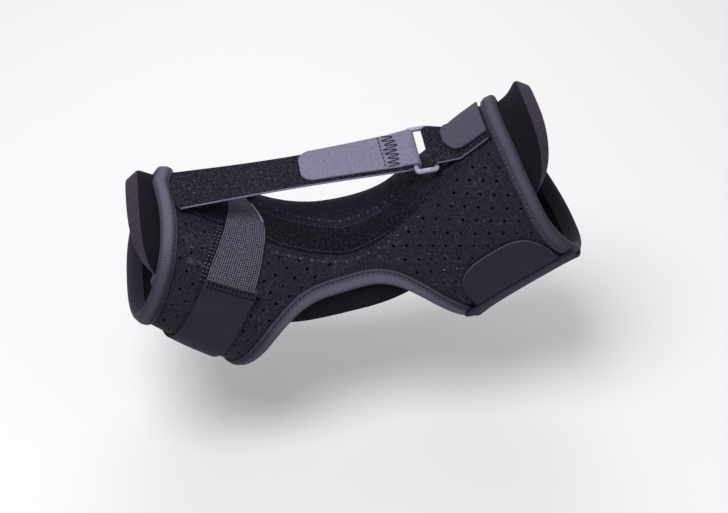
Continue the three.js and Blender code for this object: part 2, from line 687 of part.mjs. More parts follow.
// The leg tab: a round-ended tongue from under the leg binding, lying on the leg strap.
function legTab() {
  const widest = LEG_TAB_WIDTH / STRAP_WIDTH;
  const narrowest = 0.12;
  return sheet(4, 14, (u, t) => {
    const fromTip = t * LEG_TAB_LENGTH;
    const corner = clamp(fromTip / (LEG_TAB_WIDTH / 2), 0, 1);
    const width = lerp(narrowest, 1, Math.sqrt(1 - (1 - corner) ** 2));
    const side = (2 * u - 1) * width * widest + (2 * LEG_TAB_OFFSET) / STRAP_WIDTH;
    const share = lerp(1 - LEG_TAB_LENGTH / legStrapTop, 1, t);
    const lift = STRAP_CLOTH + LAYER_GAP * lerp(TIP_LIFT, 1, t);
    return [onLegStrap(share, side, lift), onLegStrap(share, side, lift + TAB_CLOTH)];
  });
}

// The closing flap on the outer side of the calf, half round, rising on to the wing at its crease.
function calfFlap() {
  const middle = (HEEL_PLACE + HEEL_LENGTH / 2 + legRim(180)) / 2;
  const fullness = 0.62; // under 1 the half round is squarer
  const shortest = 0.04; // share of the reach left at both ends
  const back = CREASE_ANGLE - degreesOf(2 * LAYER_GAP);
  return layer(6, 14, (u, t) => {
    const turn = lerp(-Math.PI / 2, Math.PI / 2, t);
    const rounded = (value) => Math.sign(value) * Math.abs(value) ** fullness;
    const place = middle + (rounded(Math.sin(turn)) * FLAP_LENGTH) / 2;
    const front = back - Math.max(rounded(Math.cos(turn)), shortest) * FLAP_REACH;
    const angle = lerp(back, front, u);
    const rise = smoothstep(angle, CREASE_ANGLE - FLAP_REACH / 2, CREASE_ANGLE);
    const low = lerp(ON_WRAP, ON_BINDING, rise);
    return { place, angle, low, high: low + TAB_CLOTH };
  });
}

// The wing that closes the leg part at the back, thick at its folded ends.
function calfWing() {
  const start = HEEL_PLACE + HEEL_LENGTH / 2 + LAYER_GAP;
  const end = legRim(180) - LAYER_GAP;
  return layer(12, 8, (u, t) => {
    const angle = lerp(CREASE_ANGLE, CREASE_ANGLE + WING_TURN, u);
    const lump = WING_LUMP * Math.abs(2 * t - 1) ** 6;
    const high = ON_BINDING + WING_CLOTH + lump;
    const rounding = CREASE_ANGLE + degreesOf(BINDING_WIDTH);
    const inset = WING_INSET * smoothstep(angle, CREASE_ANGLE, rounding);
    return { place: lerp(start + inset, end - inset, t), angle, low: ON_BINDING, high };
  });
}

function cloth(name, color, roughness) {
  const material = new THREE.MeshStandardMaterial({ color, roughness, metalness: 0 });
  material.name = name;
  return material;
}

const loopCloth = cloth("black_loop_cloth", 0x17181d, 0.95);
const padCloth = cloth("pad_cloth", 0x1b1a1f, 0.95);
const bindingCloth = cloth("slate_binding", 0x3a3b4a, 0.85);
const pocketCloth = cloth("velvet_loop", 0x101115, 0.98);
const elasticCloth = cloth("grid_elastic", 0x3c3b46, 0.8);
const knitCloth = cloth("smooth_knit", 0x1e1f27, 0.88);
const strapCloth = cloth("fuzzy_loop_strap", 0x0d0e12, 0.97);
const tabCloth = cloth("grey_hook_tab", 0x4b4c5c, 0.75);
const ringPlastic = cloth("grey_plastic", 0x54555f, 0.4);

const splint = new THREE.Group();

function add(name, geometry, material) {
  const mesh = new THREE.Mesh(geometry, material);
  mesh.name = name;
  splint.add(mesh);
  return mesh;
}

add("wrap_shell", wrapShell(), loopCloth);
add("foam_pad", foamPad(), padCloth);
add("toe_binding", rimBinding(toeRim, 1), bindingCloth);
add("leg_binding", rimBinding(legRim, -1), bindingCloth);
add("heel_binding", heelBinding(), bindingCloth);
add("stay_pocket", stayPocket(), pocketCloth);
add("elastic_band", elasticBand(), elasticCloth);
add("sole_strap", soleStrap(), knitCloth);
add("tension_strap", tensionStrap(), strapCloth);
add("strap_tab", strapTab(), tabCloth);
add("leg_strap", legStrap(), strapCloth);
add("leg_tab", legTab(), tabCloth);
add("calf_flap", calfFlap(), knitCloth);
add("calf_wing", calfWing(), knitCloth);

const ring = add("ring_buckle", ringBuckle(), ringPlastic);
const ringAxes = new THREE.Matrix4().makeBasis(ringShort, ringLong, ringNormal);
ring.setRotationFromMatrix(ringAxes);
ring.position.copy(ringCentre);

export default splint;
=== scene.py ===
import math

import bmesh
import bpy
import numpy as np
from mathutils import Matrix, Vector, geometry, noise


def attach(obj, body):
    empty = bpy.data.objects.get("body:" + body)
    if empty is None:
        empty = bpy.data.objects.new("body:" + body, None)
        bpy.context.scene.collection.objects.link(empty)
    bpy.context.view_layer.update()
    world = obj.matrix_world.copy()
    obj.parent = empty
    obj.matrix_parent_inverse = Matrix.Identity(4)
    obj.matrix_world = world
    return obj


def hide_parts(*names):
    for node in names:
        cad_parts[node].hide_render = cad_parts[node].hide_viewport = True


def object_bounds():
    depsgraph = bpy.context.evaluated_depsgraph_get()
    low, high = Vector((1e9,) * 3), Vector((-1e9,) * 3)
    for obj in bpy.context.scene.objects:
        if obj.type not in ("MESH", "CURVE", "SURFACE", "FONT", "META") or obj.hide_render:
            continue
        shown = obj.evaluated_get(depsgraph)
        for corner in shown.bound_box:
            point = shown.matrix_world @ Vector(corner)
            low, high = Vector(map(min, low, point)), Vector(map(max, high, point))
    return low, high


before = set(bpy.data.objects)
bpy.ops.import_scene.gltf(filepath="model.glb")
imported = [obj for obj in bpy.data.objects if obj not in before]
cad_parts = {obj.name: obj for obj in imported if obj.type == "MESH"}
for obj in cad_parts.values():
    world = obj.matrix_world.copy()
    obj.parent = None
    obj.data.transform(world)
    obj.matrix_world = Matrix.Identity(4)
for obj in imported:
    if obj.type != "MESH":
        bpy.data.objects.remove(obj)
cad_low, cad_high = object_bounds()

# %% [markdown]
# A soft night splint for one foot, dressed in Blender.
# The frame loaded above holds the plain solids of the splint: a wrap, a pad, bindings, straps and a ring.
# They have the right size and place, but no cloth in them. Each step below builds one of those
# pieces again as finer geometry on the same worn shape, and gives it a cloth made of shader nodes.
# We work in millimetres, as a sewing pattern does, and turn them into metres when a mesh is made.

MM = 0.001
print("frame box, metres:", [round(v, 4) for v in (*cad_low, *cad_high)])

# %% [markdown]
# First the worn shape. On the real splint every layer takes the form of the limb under it, so one
# surface can carry them all. Its middle line is two straight arms joined by an arc, and a short
# table gives the outline across it at eight places. We could trace each piece by eye instead, but
# then the layers would cut through each other; with one shared surface a piece only has to say
# where it lies along the limb, at which angle round it, and how high above it.

# %% Sizes of the worn shape
FOOT_ARM = 143
LEG_ARM = 151
BEND_RADIUS = 117
FOOT_PITCH = 30.5
LEG_PITCH = 38.2
HOLLOW_RADIUS = 54
WRAP_CLOTH = 3
PAD_FOAM = 9
BINDING_CLOTH = 1.3
POCKET_CLOTH = 1
BAND_CLOTH = 1.1
STRAP_CLOTH = 1.6
TAB_CLOTH = 1.3
WING_CLOTH = 2.2
LAYER_GAP = 0.45
BINDING_WIDTH = 10
ON_WRAP = WRAP_CLOTH + LAYER_GAP
ON_POCKET = ON_WRAP + POCKET_CLOTH + LAYER_GAP
BINDING_OUTSIDE = WRAP_CLOTH + LAYER_GAP + BINDING_CLOTH
ON_BINDING = BINDING_OUTSIDE + LAYER_GAP

# place, top, bottom, outer, inner, height of the widest points, ridge, squareness
SECTIONS = np.array([
    (-1.3, 0.54, 0.54, 0.96, 0.92, -0.19, 0.2, 2.3),
    (-1.0, 0.6, 0.63, 1.03, 0.92, -0.22, 0.19, 2.3),
    (-0.65, 0.73, 0.83, 1.08, 0.9, -0.26, 0.2, 2.3),
    (-0.3, 0.89, 0.96, 1.03, 0.82, -0.24, 0.14, 2.2),
    (0.05, 0.95, 0.95, 0.91, 0.81, -0.13, 0.1, 2.2),
    (0.45, 0.92, 0.91, 0.88, 0.88, 0, 0.07, 2.1),
    (1.0, 0.97, 0.99, 0.98, 0.98, 0, 0.05, 2.1),
    (1.35, 1.0, 1.03, 1.01, 1.02, 0, 0.05, 2.1),
])
print("places in the table of sections:", len(SECTIONS))

# %% Small helpers


def clamp(value, low=0.0, high=1.0):
    return np.minimum(np.maximum(value, low), high)


def lerp(a, b, t):
    return a + (b - a) * t


def ease(value, low, high):
    t = clamp((value - low) / (high - low))
    return t * t * (3 - 2 * t)


def unit(vectors):
    return vectors / np.maximum(np.linalg.norm(vectors, axis=-1, keepdims=True), 1e-12)


def between(rows, column, place):
    """Smooth interpolation down one column of a table, for any number of places at once."""
    places, values = rows[:, 0], rows[:, column]
    slopes = np.empty(len(rows))
    slopes[1:-1] = (values[2:] - values[:-2]) / (places[2:] - places[:-2])
    slopes[0] = (values[1] - values[0]) / (places[1] - places[0])
    slopes[-1] = (values[-1] - values[-2]) / (places[-1] - places[-2])
    at = clamp(place, places[0], places[-1])
    i = np.searchsorted(places[1:-1], at, side="left")
    step = places[i + 1] - places[i]
    t = (at - places[i]) / step
    start = (2 * t**3 - 3 * t**2 + 1) * values[i] + (t**3 - 2 * t**2 + t) * step * slopes[i]
    end = (3 * t**2 - 2 * t**3) * values[i + 1] + (t**3 - t**2) * step * slopes[i + 1]
    return start + end


print("halfway of an ease from 2 to 4:", float(ease(3.0, 2, 4)))

# %% The middle line and the hollow


def middle_line(place):
    """Where the middle line is at a place, in mm from the bend, and which way it heads."""
    low, high = math.radians(-FOOT_PITCH), math.radians(LEG_PITCH)
    half_arc = BEND_RADIUS * (high - low) / 2
    on_arc = clamp(place, -half_arc, half_arc)
    heading = (low + high) / 2 + on_arc / BEND_RADIUS
    arm = BEND_RADIUS * math.tan((high - low) / 2)
    centre_x = -arm * math.cos(low) - BEND_RADIUS * math.sin(low)
    centre_z = -arm * math.sin(low) + BEND_RADIUS * math.cos(low)
    past = place - on_arc
    x = centre_x + BEND_RADIUS * np.sin(heading) + past * np.cos(heading)
    z = centre_z - BEND_RADIUS * np.cos(heading) + past * np.sin(heading)
    return x, z, heading


def hollow(place, angle):
    """Points of the shared surface: angle 0 is the top of the foot, 90 its outer side."""
    place, angle = np.broadcast_arrays(np.asarray(place, float), np.asarray(angle, float))
    x, z, heading = middle_line(place)
    share = place / np.where(place < 0, FOOT_ARM, LEG_ARM)
    top, bottom, outer, inner, widest, ridge = (
        between(SECTIONS, k, share) * HOLLOW_RADIUS for k in range(1, 7)
    )
    power = 2 / between(SECTIONS, 7, share)
    up, out = np.cos(np.radians(angle)), np.sin(np.radians(angle))
    up_round = np.sign(up) * np.abs(up) ** power
    out_round = np.sign(out) * np.abs(out) ** power
    ridge = np.where(up > 0, ridge, 0)
    half_width = np.where(out > 0, outer + ridge, inner - ridge)
    half_height = np.where(up > 0, top - widest, bottom + widest)
    y = ridge - out_round * half_width
    rise = widest + up_round * half_height
    return np.stack([x - np.sin(heading) * rise, y, z + np.cos(heading) * rise], -1)


print("top of the hollow at the bend, mm:", [round(float(v), 1) for v in hollow(0.0, 0.0)])

# %% Heights above the hollow, and its rims
# angle in degrees from the top, and the place of the rim there as a share of the arm
TOE_RIM = np.array([
    (0, 1.065), (20, 1.034), (40, 1.012), (65, 0.992), (90, 0.976), (130, 0.968), (180, 0.965)
])
LEG_RIM = np.array([(0, 1.05), (30, 1.042), (60, 1.01), (90, 0.974), (130, 0.97), (180, 0.968)])


def normal_at(place, angle):
    along = hollow(place + 0.6, angle) - hollow(place - 0.6, angle)
    around = hollow(place, angle + 0.8) - hollow(place, angle - 0.8)
    return unit(np.cross(around, along))


def above(place, angle, height):
    """Points at a height over the shared surface, square to it."""
    place, angle, height = np.broadcast_arrays(
        np.asarray(place, float), np.asarray(angle, float), np.asarray(height, float)
    )
    return hollow(place, angle) + normal_at(place, angle) * height[..., None]


def fold(angle):
    """Degrees from the top, the same on both sides."""
    return np.abs((angle + 540) % 360 - 180)


def toe_rim(angle):
    return -FOOT_ARM * between(TOE_RIM, 1, fold(np.asarray(angle, float)))


def leg_rim(angle):
    return LEG_ARM * between(LEG_RIM, 1, fold(np.asarray(angle, float)))


def degrees_of(width):
    return math.degrees(width / HOLLOW_RADIUS)


leg_end = hollow(LEG_ARM, np.arange(0, 360, 5.0))
print("hollow is this wide at the leg end, mm:", round(float(np.ptp(leg_end[:, 1])), 1))

# %% [markdown]
# The camera comes early, so that every later look is through it. The picture is taken from the
# outer side and well above, with a long lens, which keeps the straps nearly parallel. Such a view
# could be set by eye; this one was worked out by matching points of the rims and the straps, so
# its place is given as numbers.

# %% The camera
CAMERA_PLACE = Vector((-100.1, -746.5, 658.7)) * MM
CAMERA_BACK = Vector((-0.1144, -0.7653, 0.6334))
CAMERA_RIGHT = Vector((0.9890, -0.1478, 0.0))
SENSOR_WIDTH = 36.0
FOCAL_LENGTH = 71.703


def make_camera():
    back = CAMERA_BACK.normalized()
    right = (CAMERA_RIGHT - back * CAMERA_RIGHT.dot(back)).normalized()
    up = back.cross(right)
    data = bpy.data.cameras.new("camera")
    data.lens = FOCAL_LENGTH
    data.sensor_width = SENSOR_WIDTH
    camera = bpy.data.objects.new("camera", data)
    bpy.context.collection.objects.link(camera)
    turn = Matrix((right, up, back)).transposed()
    camera.matrix_world = Matrix.Translation(CAMERA_PLACE) @ turn.to_4x4()
    bpy.context.scene.camera = camera
    return camera


camera = make_camera()
print("camera from the splint, metres:", round(camera.matrix_world.translation.length, 3))

# %% [markdown]
# The splint stands in a light tent: pale all round, with a soft shadow under it. We could build the
# tent's walls, but three large disks of light, a pale world and a floor do the same with less.

# %% Floor and lights
FLOOR_HALF = 3.0
FLOOR_BELOW = 0.055
FLOOR_TONE = (0.92, 0.92, 0.92, 1)
WORLD_TONE = (0.95, 0.96, 1.0, 1)
WORLD_STRENGTH = 0.39


def soft_light(name, place, size, power):
    """A disk of light that faces the splint; place and size in metres, power in watts."""
    data = bpy.data.lights.new(name, "AREA")
    data.shape = "DISK"
    data.size = size
    data.energy = power
    light = bpy.data.objects.new(name, data)
    light.location = place
    light.rotation_mode = "QUATERNION"
    light.rotation_quaternion = (-Vector(place)).to_track_quat("-Z", "Y")
    bpy.context.collection.objects.link(light)
    return light


def make_floor():
    mesh = bpy.data.meshes.new("floor")
    height = cad_low.z - FLOOR_BELOW
    corners = [(x * FLOOR_HALF, y * FLOOR_HALF, height) for x, y in ((-1, -1), (1, -1), (1, 1), (-1, 1))]
    mesh.from_pydata(corners, [], [(0, 1, 2, 3)])
    floor = bpy.data.objects.new("floor", mesh)
    bpy.context.collection.objects.link(floor)
    paint = bpy.data.materials.new("pale_floor")
    paint.use_nodes = True
    shader = paint.node_tree.nodes["Principled BSDF"]
    shader.inputs["Base Color"].default_value = FLOOR_TONE
    shader.inputs["Roughness"].default_value = 0.9
    mesh.materials.append(paint)
    return floor


floor = make_floor()
soft_light("key", (-0.4, -0.35, 1.3), 0.8, 12.4)
soft_light("fill", (0.9, -0.7, 0.6), 0.9, 1.6)
soft_light("back", (0.1, 0.9, 0.9), 0.8, 4.0)
world = bpy.data.worlds.new("studio")
bpy.context.scene.world = world
world.use_nodes = True
world.node_tree.nodes["Background"].inputs["Color"].default_value = WORLD_TONE
world.node_tree.nodes["Background"].inputs["Strength"].default_value = WORLD_STRENGTH
bpy.context.scene.view_settings.view_transform = "Standard"

# %% [markdown]
# Cloth pieces are all made by a few helpers. A grid of points becomes a mesh, and a second grid
# can give it flat cloth coordinates in centimetres, so that a weave keeps its real size and runs
# with the cloth.

# %% From a grid of points to a mesh
CLOTH_MAP = "cloth"


def link_mesh(name, points, faces, material=None, flat=None):
    """Makes an object from points in mm, with flat cloth coordinates in mm where it has any."""
    mesh = bpy.data.meshes.new(name)
    mesh.from_pydata((np.asarray(points, float) * MM).tolist(), [], [tuple(map(int, f)) for f in faces])
    mesh.validate()
    piece = bpy.data.objects.new(name, mesh)
    bpy.context.collection.objects.link(piece)
    if material:
        mesh.materials.append(material)
    if flat is not None:
        layer = mesh.uv_layers.new(name=CLOTH_MAP)
        corner = np.empty(len(mesh.loops), np.int32)
        mesh.loops.foreach_get("vertex_index", corner)
        layer.uv.foreach_set("vector", (np.asarray(flat, float)[corner] / 10).astype(np.float32).ravel())
    mesh.shade_smooth()
    return piece


def grid_faces(rows, columns):
    """Quads over a grid of points that is written row by row."""
    corners = [j * columns + i for j in range(rows - 1) for i in range(columns - 1)]
    return [(k, k + 1, k + columns + 1, k + columns) for k in corners]


print("faces of a grid of 3 by 4 points:", len(grid_faces(3, 4)))

# %% [markdown]
# Blender's Solidify turns such a sheet into cloth with two faces, and a narrow Bevel takes the hard
# edge off its rim. We could model both faces by hand, but the modifiers do it in two lines and keep
# the thickness even.

# %% Thickness, and the piece's place on the splint


def settle(piece):
    """Applies the modifiers of a piece."""
    graph = bpy.context.evaluated_depsgraph_get()
    graph.update()
    mesh = bpy.data.meshes.new_from_object(piece.evaluated_get(graph))
    piece.modifiers.clear()
    piece.data = mesh
    mesh.shade_smooth()
    return piece


def thick_cloth(piece, thickness, rim=0.35):
    """Gives a sheet its two faces and a rounded rim, and keeps the result as its mesh."""
    solid = piece.modifiers.new("thickness", "SOLIDIFY")
    solid.thickness = thickness * MM
    solid.offset = 1.0
    solid.use_even_offset = True
    if rim:
        bevel = piece.modifiers.new("rim", "BEVEL")
        bevel.width = rim * MM
        bevel.segments = 2
        bevel.limit_method = "ANGLE"
        bevel.angle_limit = math.radians(60)
    return settle(piece)


def dress(piece, slot, *nodes):
    """Hangs a finished piece on the splint and hides the plain solids it replaces; its slot is not used."""
    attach(piece, "root")
    if nodes:
        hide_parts(*nodes)
    triangles = sum(len(p.vertices) - 2 for p in piece.data.polygons)
    print(f"{piece.name}: {triangles} triangles")
    return piece


print("a sheet's rim is rounded by mm:", thick_cloth.__defaults__[0])

# %% [markdown]
# Every sheet also says how it was cut. We could type its size in, but the worn grid already holds
# it: the longest row and the longest column, measured along the cloth, are the strip that the
# maker would cut, and the grid's area is what is left of that strip where its corners are rounded.

# %% A sheet and its cut size


def grid_lengths(spots):
    """Length from the first corner on along each row and each column of a grid of points."""
    across = np.cumsum(np.linalg.norm(np.diff(spots, axis=1), axis=2), 1)
    along = np.cumsum(np.linalg.norm(np.diff(spots, axis=0), axis=2), 0)
    return np.pad(across, ((0, 0), (1, 0))), np.pad(along, ((1, 0), (0, 0)))


def grid_area(spots):
    """Area of a grid of points, from the diagonals of its squares."""
    diagonals = (spots[1:, 1:] - spots[:-1, :-1], spots[1:, :-1] - spots[:-1, 1:])
    return float(np.linalg.norm(np.cross(*diagonals), axis=-1).sum() / 2)


def sheet_piece(
    name, spots, thickness, material, slot, node, rim=0.35, turned=False, cut=None
):
    """A piece from the grid of its lower face; turned where the columns run inwards.

    The cut is measured along the cloth unless a width and length in mm are given.
    """
    if turned:
        spots = spots[:, ::-1]
    rows, columns = spots.shape[:2]
    across, along = grid_lengths(spots)
    middle = np.repeat(along[:, columns // 2, None], columns, 1)
    flat = np.stack([across - across[:, -1:] / 2, middle], -1)
    piece = link_mesh(name, spots.reshape(-1, 3), grid_faces(rows, columns), material, flat.reshape(-1, 2))
    thick_cloth(piece, thickness, rim)
    dress(piece, slot, node)
    cut = [size * MM for size in cut or (across.max(), along.max())]
    print(name, "is cut to, mm:", [round(float(size / MM)) for size in cut])
    return piece


flat_square = np.stack([*np.meshgrid(np.arange(3.0), np.arange(3.0)), np.zeros((3, 3))], -1)
print("area of a square of 2 mm, mm2:", grid_area(flat_square))

# %% [markdown]
# Now the cloths. Each is a Principled shader with a little helper that adds nodes. The colours are
# the picture's own, a near black with blue in it for the loop cloth and a slate for the bindings.
# What tells these cloths apart is their texture: loops scatter light as specks, a rib is a row of
# fine lines, a knit is smooth with faint wales. All of it is noise and waves, some in the cloth's
# own coordinates and some in space. An image would be quicker but stays one size.

# %% Short names for shader nodes


def linear(colour):
    """A colour as seen on screen, 0 to 255, as the shader needs it."""
    c = np.asarray(colour, float) / 255
    return tuple(np.where(c <= 0.04045, c / 12.92, ((c + 0.055) / 1.055) ** 2.4)) + (1.0,)


class Cloth:
    """A material and short names for the nodes that a cloth needs."""

    def __init__(self, name, colour, roughness, sheen=0.0, sheen_colour=(150, 150, 170), gloss=0.12):
        self.material = bpy.data.materials.new(name)
        self.material.use_nodes = True
        self.nodes = self.material.node_tree.nodes
        self.links = self.material.node_tree.links
        self.shader = self.nodes["Principled BSDF"]
        self.shader.inputs["Base Color"].default_value = linear(colour)
        self.shader.inputs["Roughness"].default_value = roughness
        self.shader.inputs["Specular IOR Level"].default_value = gloss
        self.shader.inputs["Sheen Weight"].default_value = sheen
        self.shader.inputs["Sheen Roughness"].default_value = 0.5
        self.shader.inputs["Sheen Tint"].default_value = linear(sheen_colour)
        self.space = self.nodes.new("ShaderNodeTexCoord").outputs["Object"]
        flat = self.nodes.new("ShaderNodeUVMap")
        flat.uv_map = CLOTH_MAP
        self.flat = flat.outputs["UV"]
        self.height = None

    def node(self, kind, **values):
        made = self.nodes.new(kind)
        for key, value in values.items():
            if key in made.inputs:
                made.inputs[key].default_value = value
            else:
                setattr(made, key, value)
        return made

    def noise(self, scale, detail=3.0, roughness=0.6):
        """Soft patches in space, about one over the scale in metres."""
        made = self.node("ShaderNodeTexNoise", Scale=scale, Detail=detail, Roughness=roughness)
        self.links.new(self.space, made.inputs["Vector"])
        return made.outputs["Fac"]

    def ribs(self, pitch, axis, distortion=0.0):
        """Lines a pitch apart, in mm, across U (X) or V (Y) of the flat cloth."""
        scale = math.pi / pitch  # a wave repeats every 2 pi / 20 of the map's centimetres
        made = self.node("ShaderNodeTexWave", Scale=scale, Distortion=distortion, Detail=1.0)
        made.bands_direction = axis
        self.links.new(self.flat, made.inputs["Vector"])
        return made.outputs["Fac"]

    def across(self, axis="Y"):
        """The flat cloth coordinate in centimetres, along U (X) or V (Y)."""
        made = self.nodes.new("ShaderNodeSeparateXYZ")
        self.links.new(self.flat, made.inputs["Vector"])
        return made.outputs[axis]

    def up(self):
        """The height of a spot in the splint's own frame, in metres."""
        made = self.nodes.new("ShaderNodeSeparateXYZ")
        self.links.new(self.space, made.inputs["Vector"])
        return made.outputs["Z"]

    def ramp(self, value, stops):
        """A colour for each share of a value, the colours as seen on screen."""
        made = self.nodes.new("ShaderNodeValToRGB")
        points = made.color_ramp.elements
        while len(points) < len(stops):
            points.new(0.5)
        for point, (place, colour) in zip(points, stops):
            point.position = place
            point.color = linear(colour)
        self.links.new(value, made.inputs["Fac"])
        return made.outputs["Color"]

    def math(self, kind, a, b=0.5):
        made = self.nodes.new("ShaderNodeMath")
        made.operation = kind
        for value, socket in ((a, made.inputs[0]), (b, made.inputs[1])):
            if isinstance(value, (int, float)):
                socket.default_value = value
            else:
                self.links.new(value, socket)
        return made.outputs[0]

    def share(self, value, low, high):
        """0 where a value is at low, 1 where it is at high."""
        made = self.node("ShaderNodeMapRange", **{"From Min": low, "From Max": high})
        made.interpolation_type = "SMOOTHSTEP"
        self.links.new(value, made.inputs["Value"])
        return made.outputs["Result"]

    def mix(self, share, a, b, blend="MIX"):
        made = self.nodes.new("ShaderNodeMix")
        made.data_type = "RGBA"
        made.blend_type = blend
        colour_a = next(s for s in made.inputs if s.name == "A" and s.type == "RGBA")
        colour_b = next(s for s in made.inputs if s.name == "B" and s.type == "RGBA")
        factor = next(s for s in made.inputs if s.name == "Factor" and s.type == "VALUE")
        for value, socket in ((share, factor), (a, colour_a), (b, colour_b)):
            if isinstance(value, (int, float, tuple)):
                socket.default_value = value
            else:
                self.links.new(value, socket)
        return next(s for s in made.outputs if s.type == "RGBA")

    def colour(self, value):
        self.links.new(value, self.shader.inputs["Base Color"])
        return self

    def bump(self, value, depth, strength=1.0):
        """Adds relief of a depth in millimetres on top of any relief so far."""
        made = self.node("ShaderNodeBump", Strength=strength, Distance=depth * MM)
        self.links.new(value, made.inputs["Height"])
        if self.height is not None:
            self.links.new(self.height, made.inputs["Normal"])
        self.height = made.outputs["Normal"]
        self.links.new(self.height, self.shader.inputs["Normal"])
        return self


print("slate of the bindings for the shader:", [round(v, 3) for v in linear((78, 75, 93))[:3]])

# %% [markdown]
# The wrap's outer face is brushed, so that hooks can catch it anywhere. From close by it is a fine
# grain of blue black specks, with paler wisps where the nap stands up. Hair particles could give
# that, but at this size two noises do: one fine for the grain, one ragged for the wisps, and a
# third, large one decides where the wisps lie.

# %% The wrap's loop face


def loop_cloth():
    """The wrap's brushed loop face: a blue black with fine grain and, here and there, wisps of pale nap."""
    cloth = Cloth("loop cloth", (42, 40, 51), 0.95, sheen=0.12)
    grain = cloth.noise(1100, 2)
    wisps = cloth.noise(240, 6, roughness=0.8)
    clouds = cloth.noise(30, 3)
    dark, light = [(0.34, (22, 20, 30)), (0.5, (34, 32, 44))], [(0.66, (51, 49, 64)), (0.8, (68, 65, 82))]
    base = cloth.ramp(grain, dark + light)
    napped = cloth.ramp(grain, [(0.3, (46, 44, 57)), (0.7, (92, 89, 107))])
    share = cloth.math("MULTIPLY", cloth.share(wisps, 0.54, 0.68), cloth.share(clouds, 0.4, 0.62))
    cloth.colour(cloth.mix(share, base, napped))
    return cloth.bump(grain, 0.4, 0.6).bump(wisps, 0.5, 0.3).bump(clouds, 1.0, 0.2).material


LOOP = loop_cloth()
print(LOOP.name, "has nodes:", len(LOOP.node_tree.nodes))

# %% [markdown]
# The pad's lining is a plain dark tricot, and its ends are closed with a paler, browner cloth. Both
# are noise again, much finer for the tricot. Two tones mixed by a large soft noise keep either of
# them from looking painted.

# %% The pad's two cloths


def pad_lining():
    cloth = Cloth("pad lining", (20, 19, 28), 0.9, sheen=0.05)
    wales = cloth.noise(1400, 1)
    clouds = cloth.noise(40, 2)
    dark = cloth.ramp(wales, [(0.3, (9, 9, 14)), (0.7, (19, 18, 27))])
    cloth.colour(cloth.mix(clouds, dark, cloth.ramp(wales, [(0.3, (14, 13, 20)), (0.7, (28, 27, 37))])))
    return cloth.bump(wales, 0.2, 0.4).material


def pad_end_cloth():
    """The paler cloth that closes the pad's ends: brown grey and slightly brushed."""
    cloth = Cloth("pad end cloth", (60, 52, 62), 0.95, sheen=0.15, sheen_colour=(160, 150, 175))
    nap = cloth.noise(800, 3)
    patches = cloth.noise(70, 3)
    warm = cloth.ramp(nap, [(0.3, (47, 39, 50)), (0.7, (74, 63, 77))])
    cool = cloth.ramp(nap, [(0.3, (40, 36, 48)), (0.7, (62, 56, 71))])
    cloth.colour(cloth.mix(patches, warm, cool))
    return cloth.bump(nap, 0.4, 0.5).material


LINING = pad_lining()
PAD_END = pad_end_cloth()
print("pad cloths:", LINING.name, "and", PAD_END.name)

# %% [markdown]
# The binding is slate elastic tape with fine ribs across it. Light and shade are painted on it: a
# painted highlight along the crown of its fold, painted shade in the shallow line where it is sewn,
# and painted shade, darker and warmer, towards the sole. A wave in the cloth's own coordinates
# makes the ribs, so they turn with the rim, and the height of a spot decides how much painted shade
# the tape has. All three rims share it with other values.

# %% Ribbed binding tape
RIB_PITCH = 1.75
# painted light and shade: the tape's lit tone above, and its painted shade towards the sole
LIT_TAPE = (92, 89, 107)
SHADED_TAPE = (64, 59, 73)
# painted shade: the dark tone of the sunk line where the tape is sewn
SEWN_GROOVE_SHADE = (34, 32, 44)
# painted light across the tape, from its sewn edge (0) over the crown to past the fold (0.5):
# painted shade at both edges, a painted highlight on the crown
CROWN_PAINTED_LIGHT = [(0.0, (196,) * 3), (0.17, (200,) * 3), (0.26, (255,) * 3), (0.4, (255,) * 3), (0.52, (190,) * 3)]


def binding_rib(name, shade, ribbing, lit_above, shaded_below):
    """The tape, with painted light above one height in mm and painted shade below another; ribbing is the
    ribs' contrast.
    """
    cloth = Cloth(name, (78, 75, 93), 0.8, sheen=0.2)
    ribs = cloth.ribs(RIB_PITCH, "X")
    tones = []
    for seen, light_from in ((LIT_TAPE, 0.6), (SHADED_TAPE, 0.7)):
        low = tuple(shade * (1 - ribbing) * c for c in seen)
        high = tuple(shade * (1 + ribbing) * c for c in seen)
        tones.append(cloth.ramp(ribs, [(0.1, low), (light_from, high)]))
    lit_tone, other_tone = tones
    uneven = 0.02  # metres by which a noise shifts the height where the painted shade begins
    # painted shade: the lit tone above one height, the shaded tone below another
    height = cloth.math("ADD", cloth.up(), cloth.math("MULTIPLY", cloth.noise(34, 3), uneven))
    lit_share = cloth.share(height, shaded_below * MM + uneven / 2, lit_above * MM + uneven / 2)
    width = cloth.math("MULTIPLY", cloth.across("Y"), 0.5)
    # painted highlight on the crown and painted shade at the tape's edges, multiplied in
    tape = cloth.mix(1.0, cloth.mix(lit_share, other_tone, lit_tone), cloth.ramp(width, CROWN_PAINTED_LIGHT), "MULTIPLY")
    # painted shade in the sunk line where the tape is sewn, at half strength
    groove_shade = cloth.math("MULTIPLY", cloth.share(width, 0.04, 0.075), cloth.share(width, 0.12, 0.085))
    cloth.colour(cloth.mix(cloth.math("MULTIPLY", groove_shade, 0.5), tape, linear(SEWN_GROOVE_SHADE)))
    return cloth.bump(ribs, ribbing * 2, 0.6).bump(cloth.noise(700, 2), 0.1, 0.4).material


# the last two numbers: heights in mm above which the tape is lit and below which its shade is painted
BINDING = binding_rib("ribbed binding", 1.0, 0.07, 108, 76)
HEEL_BINDING = binding_rib("heel binding", 1.0, 0.03, 62, 5)
LEG_BINDING = binding_rib("smoother binding", 0.8, 0.02, 120, 50)
print("binding tapes:", [m.name for m in (BINDING, HEEL_BINDING, LEG_BINDING)])

# %% [markdown]
# The pocket over the instep has a denser and darker pile than the wrap, the elastic's threads are
# grey lavender, and the sole strap and the calf are a smooth knit. Each has its own look, but all
# are the same recipe: a fine noise through a ramp of seen colours, and a large noise between two
# such ramps. A photo of each cloth would be truer from near, but this keeps its size at any scale.

# %% Pile, elastic thread and knit


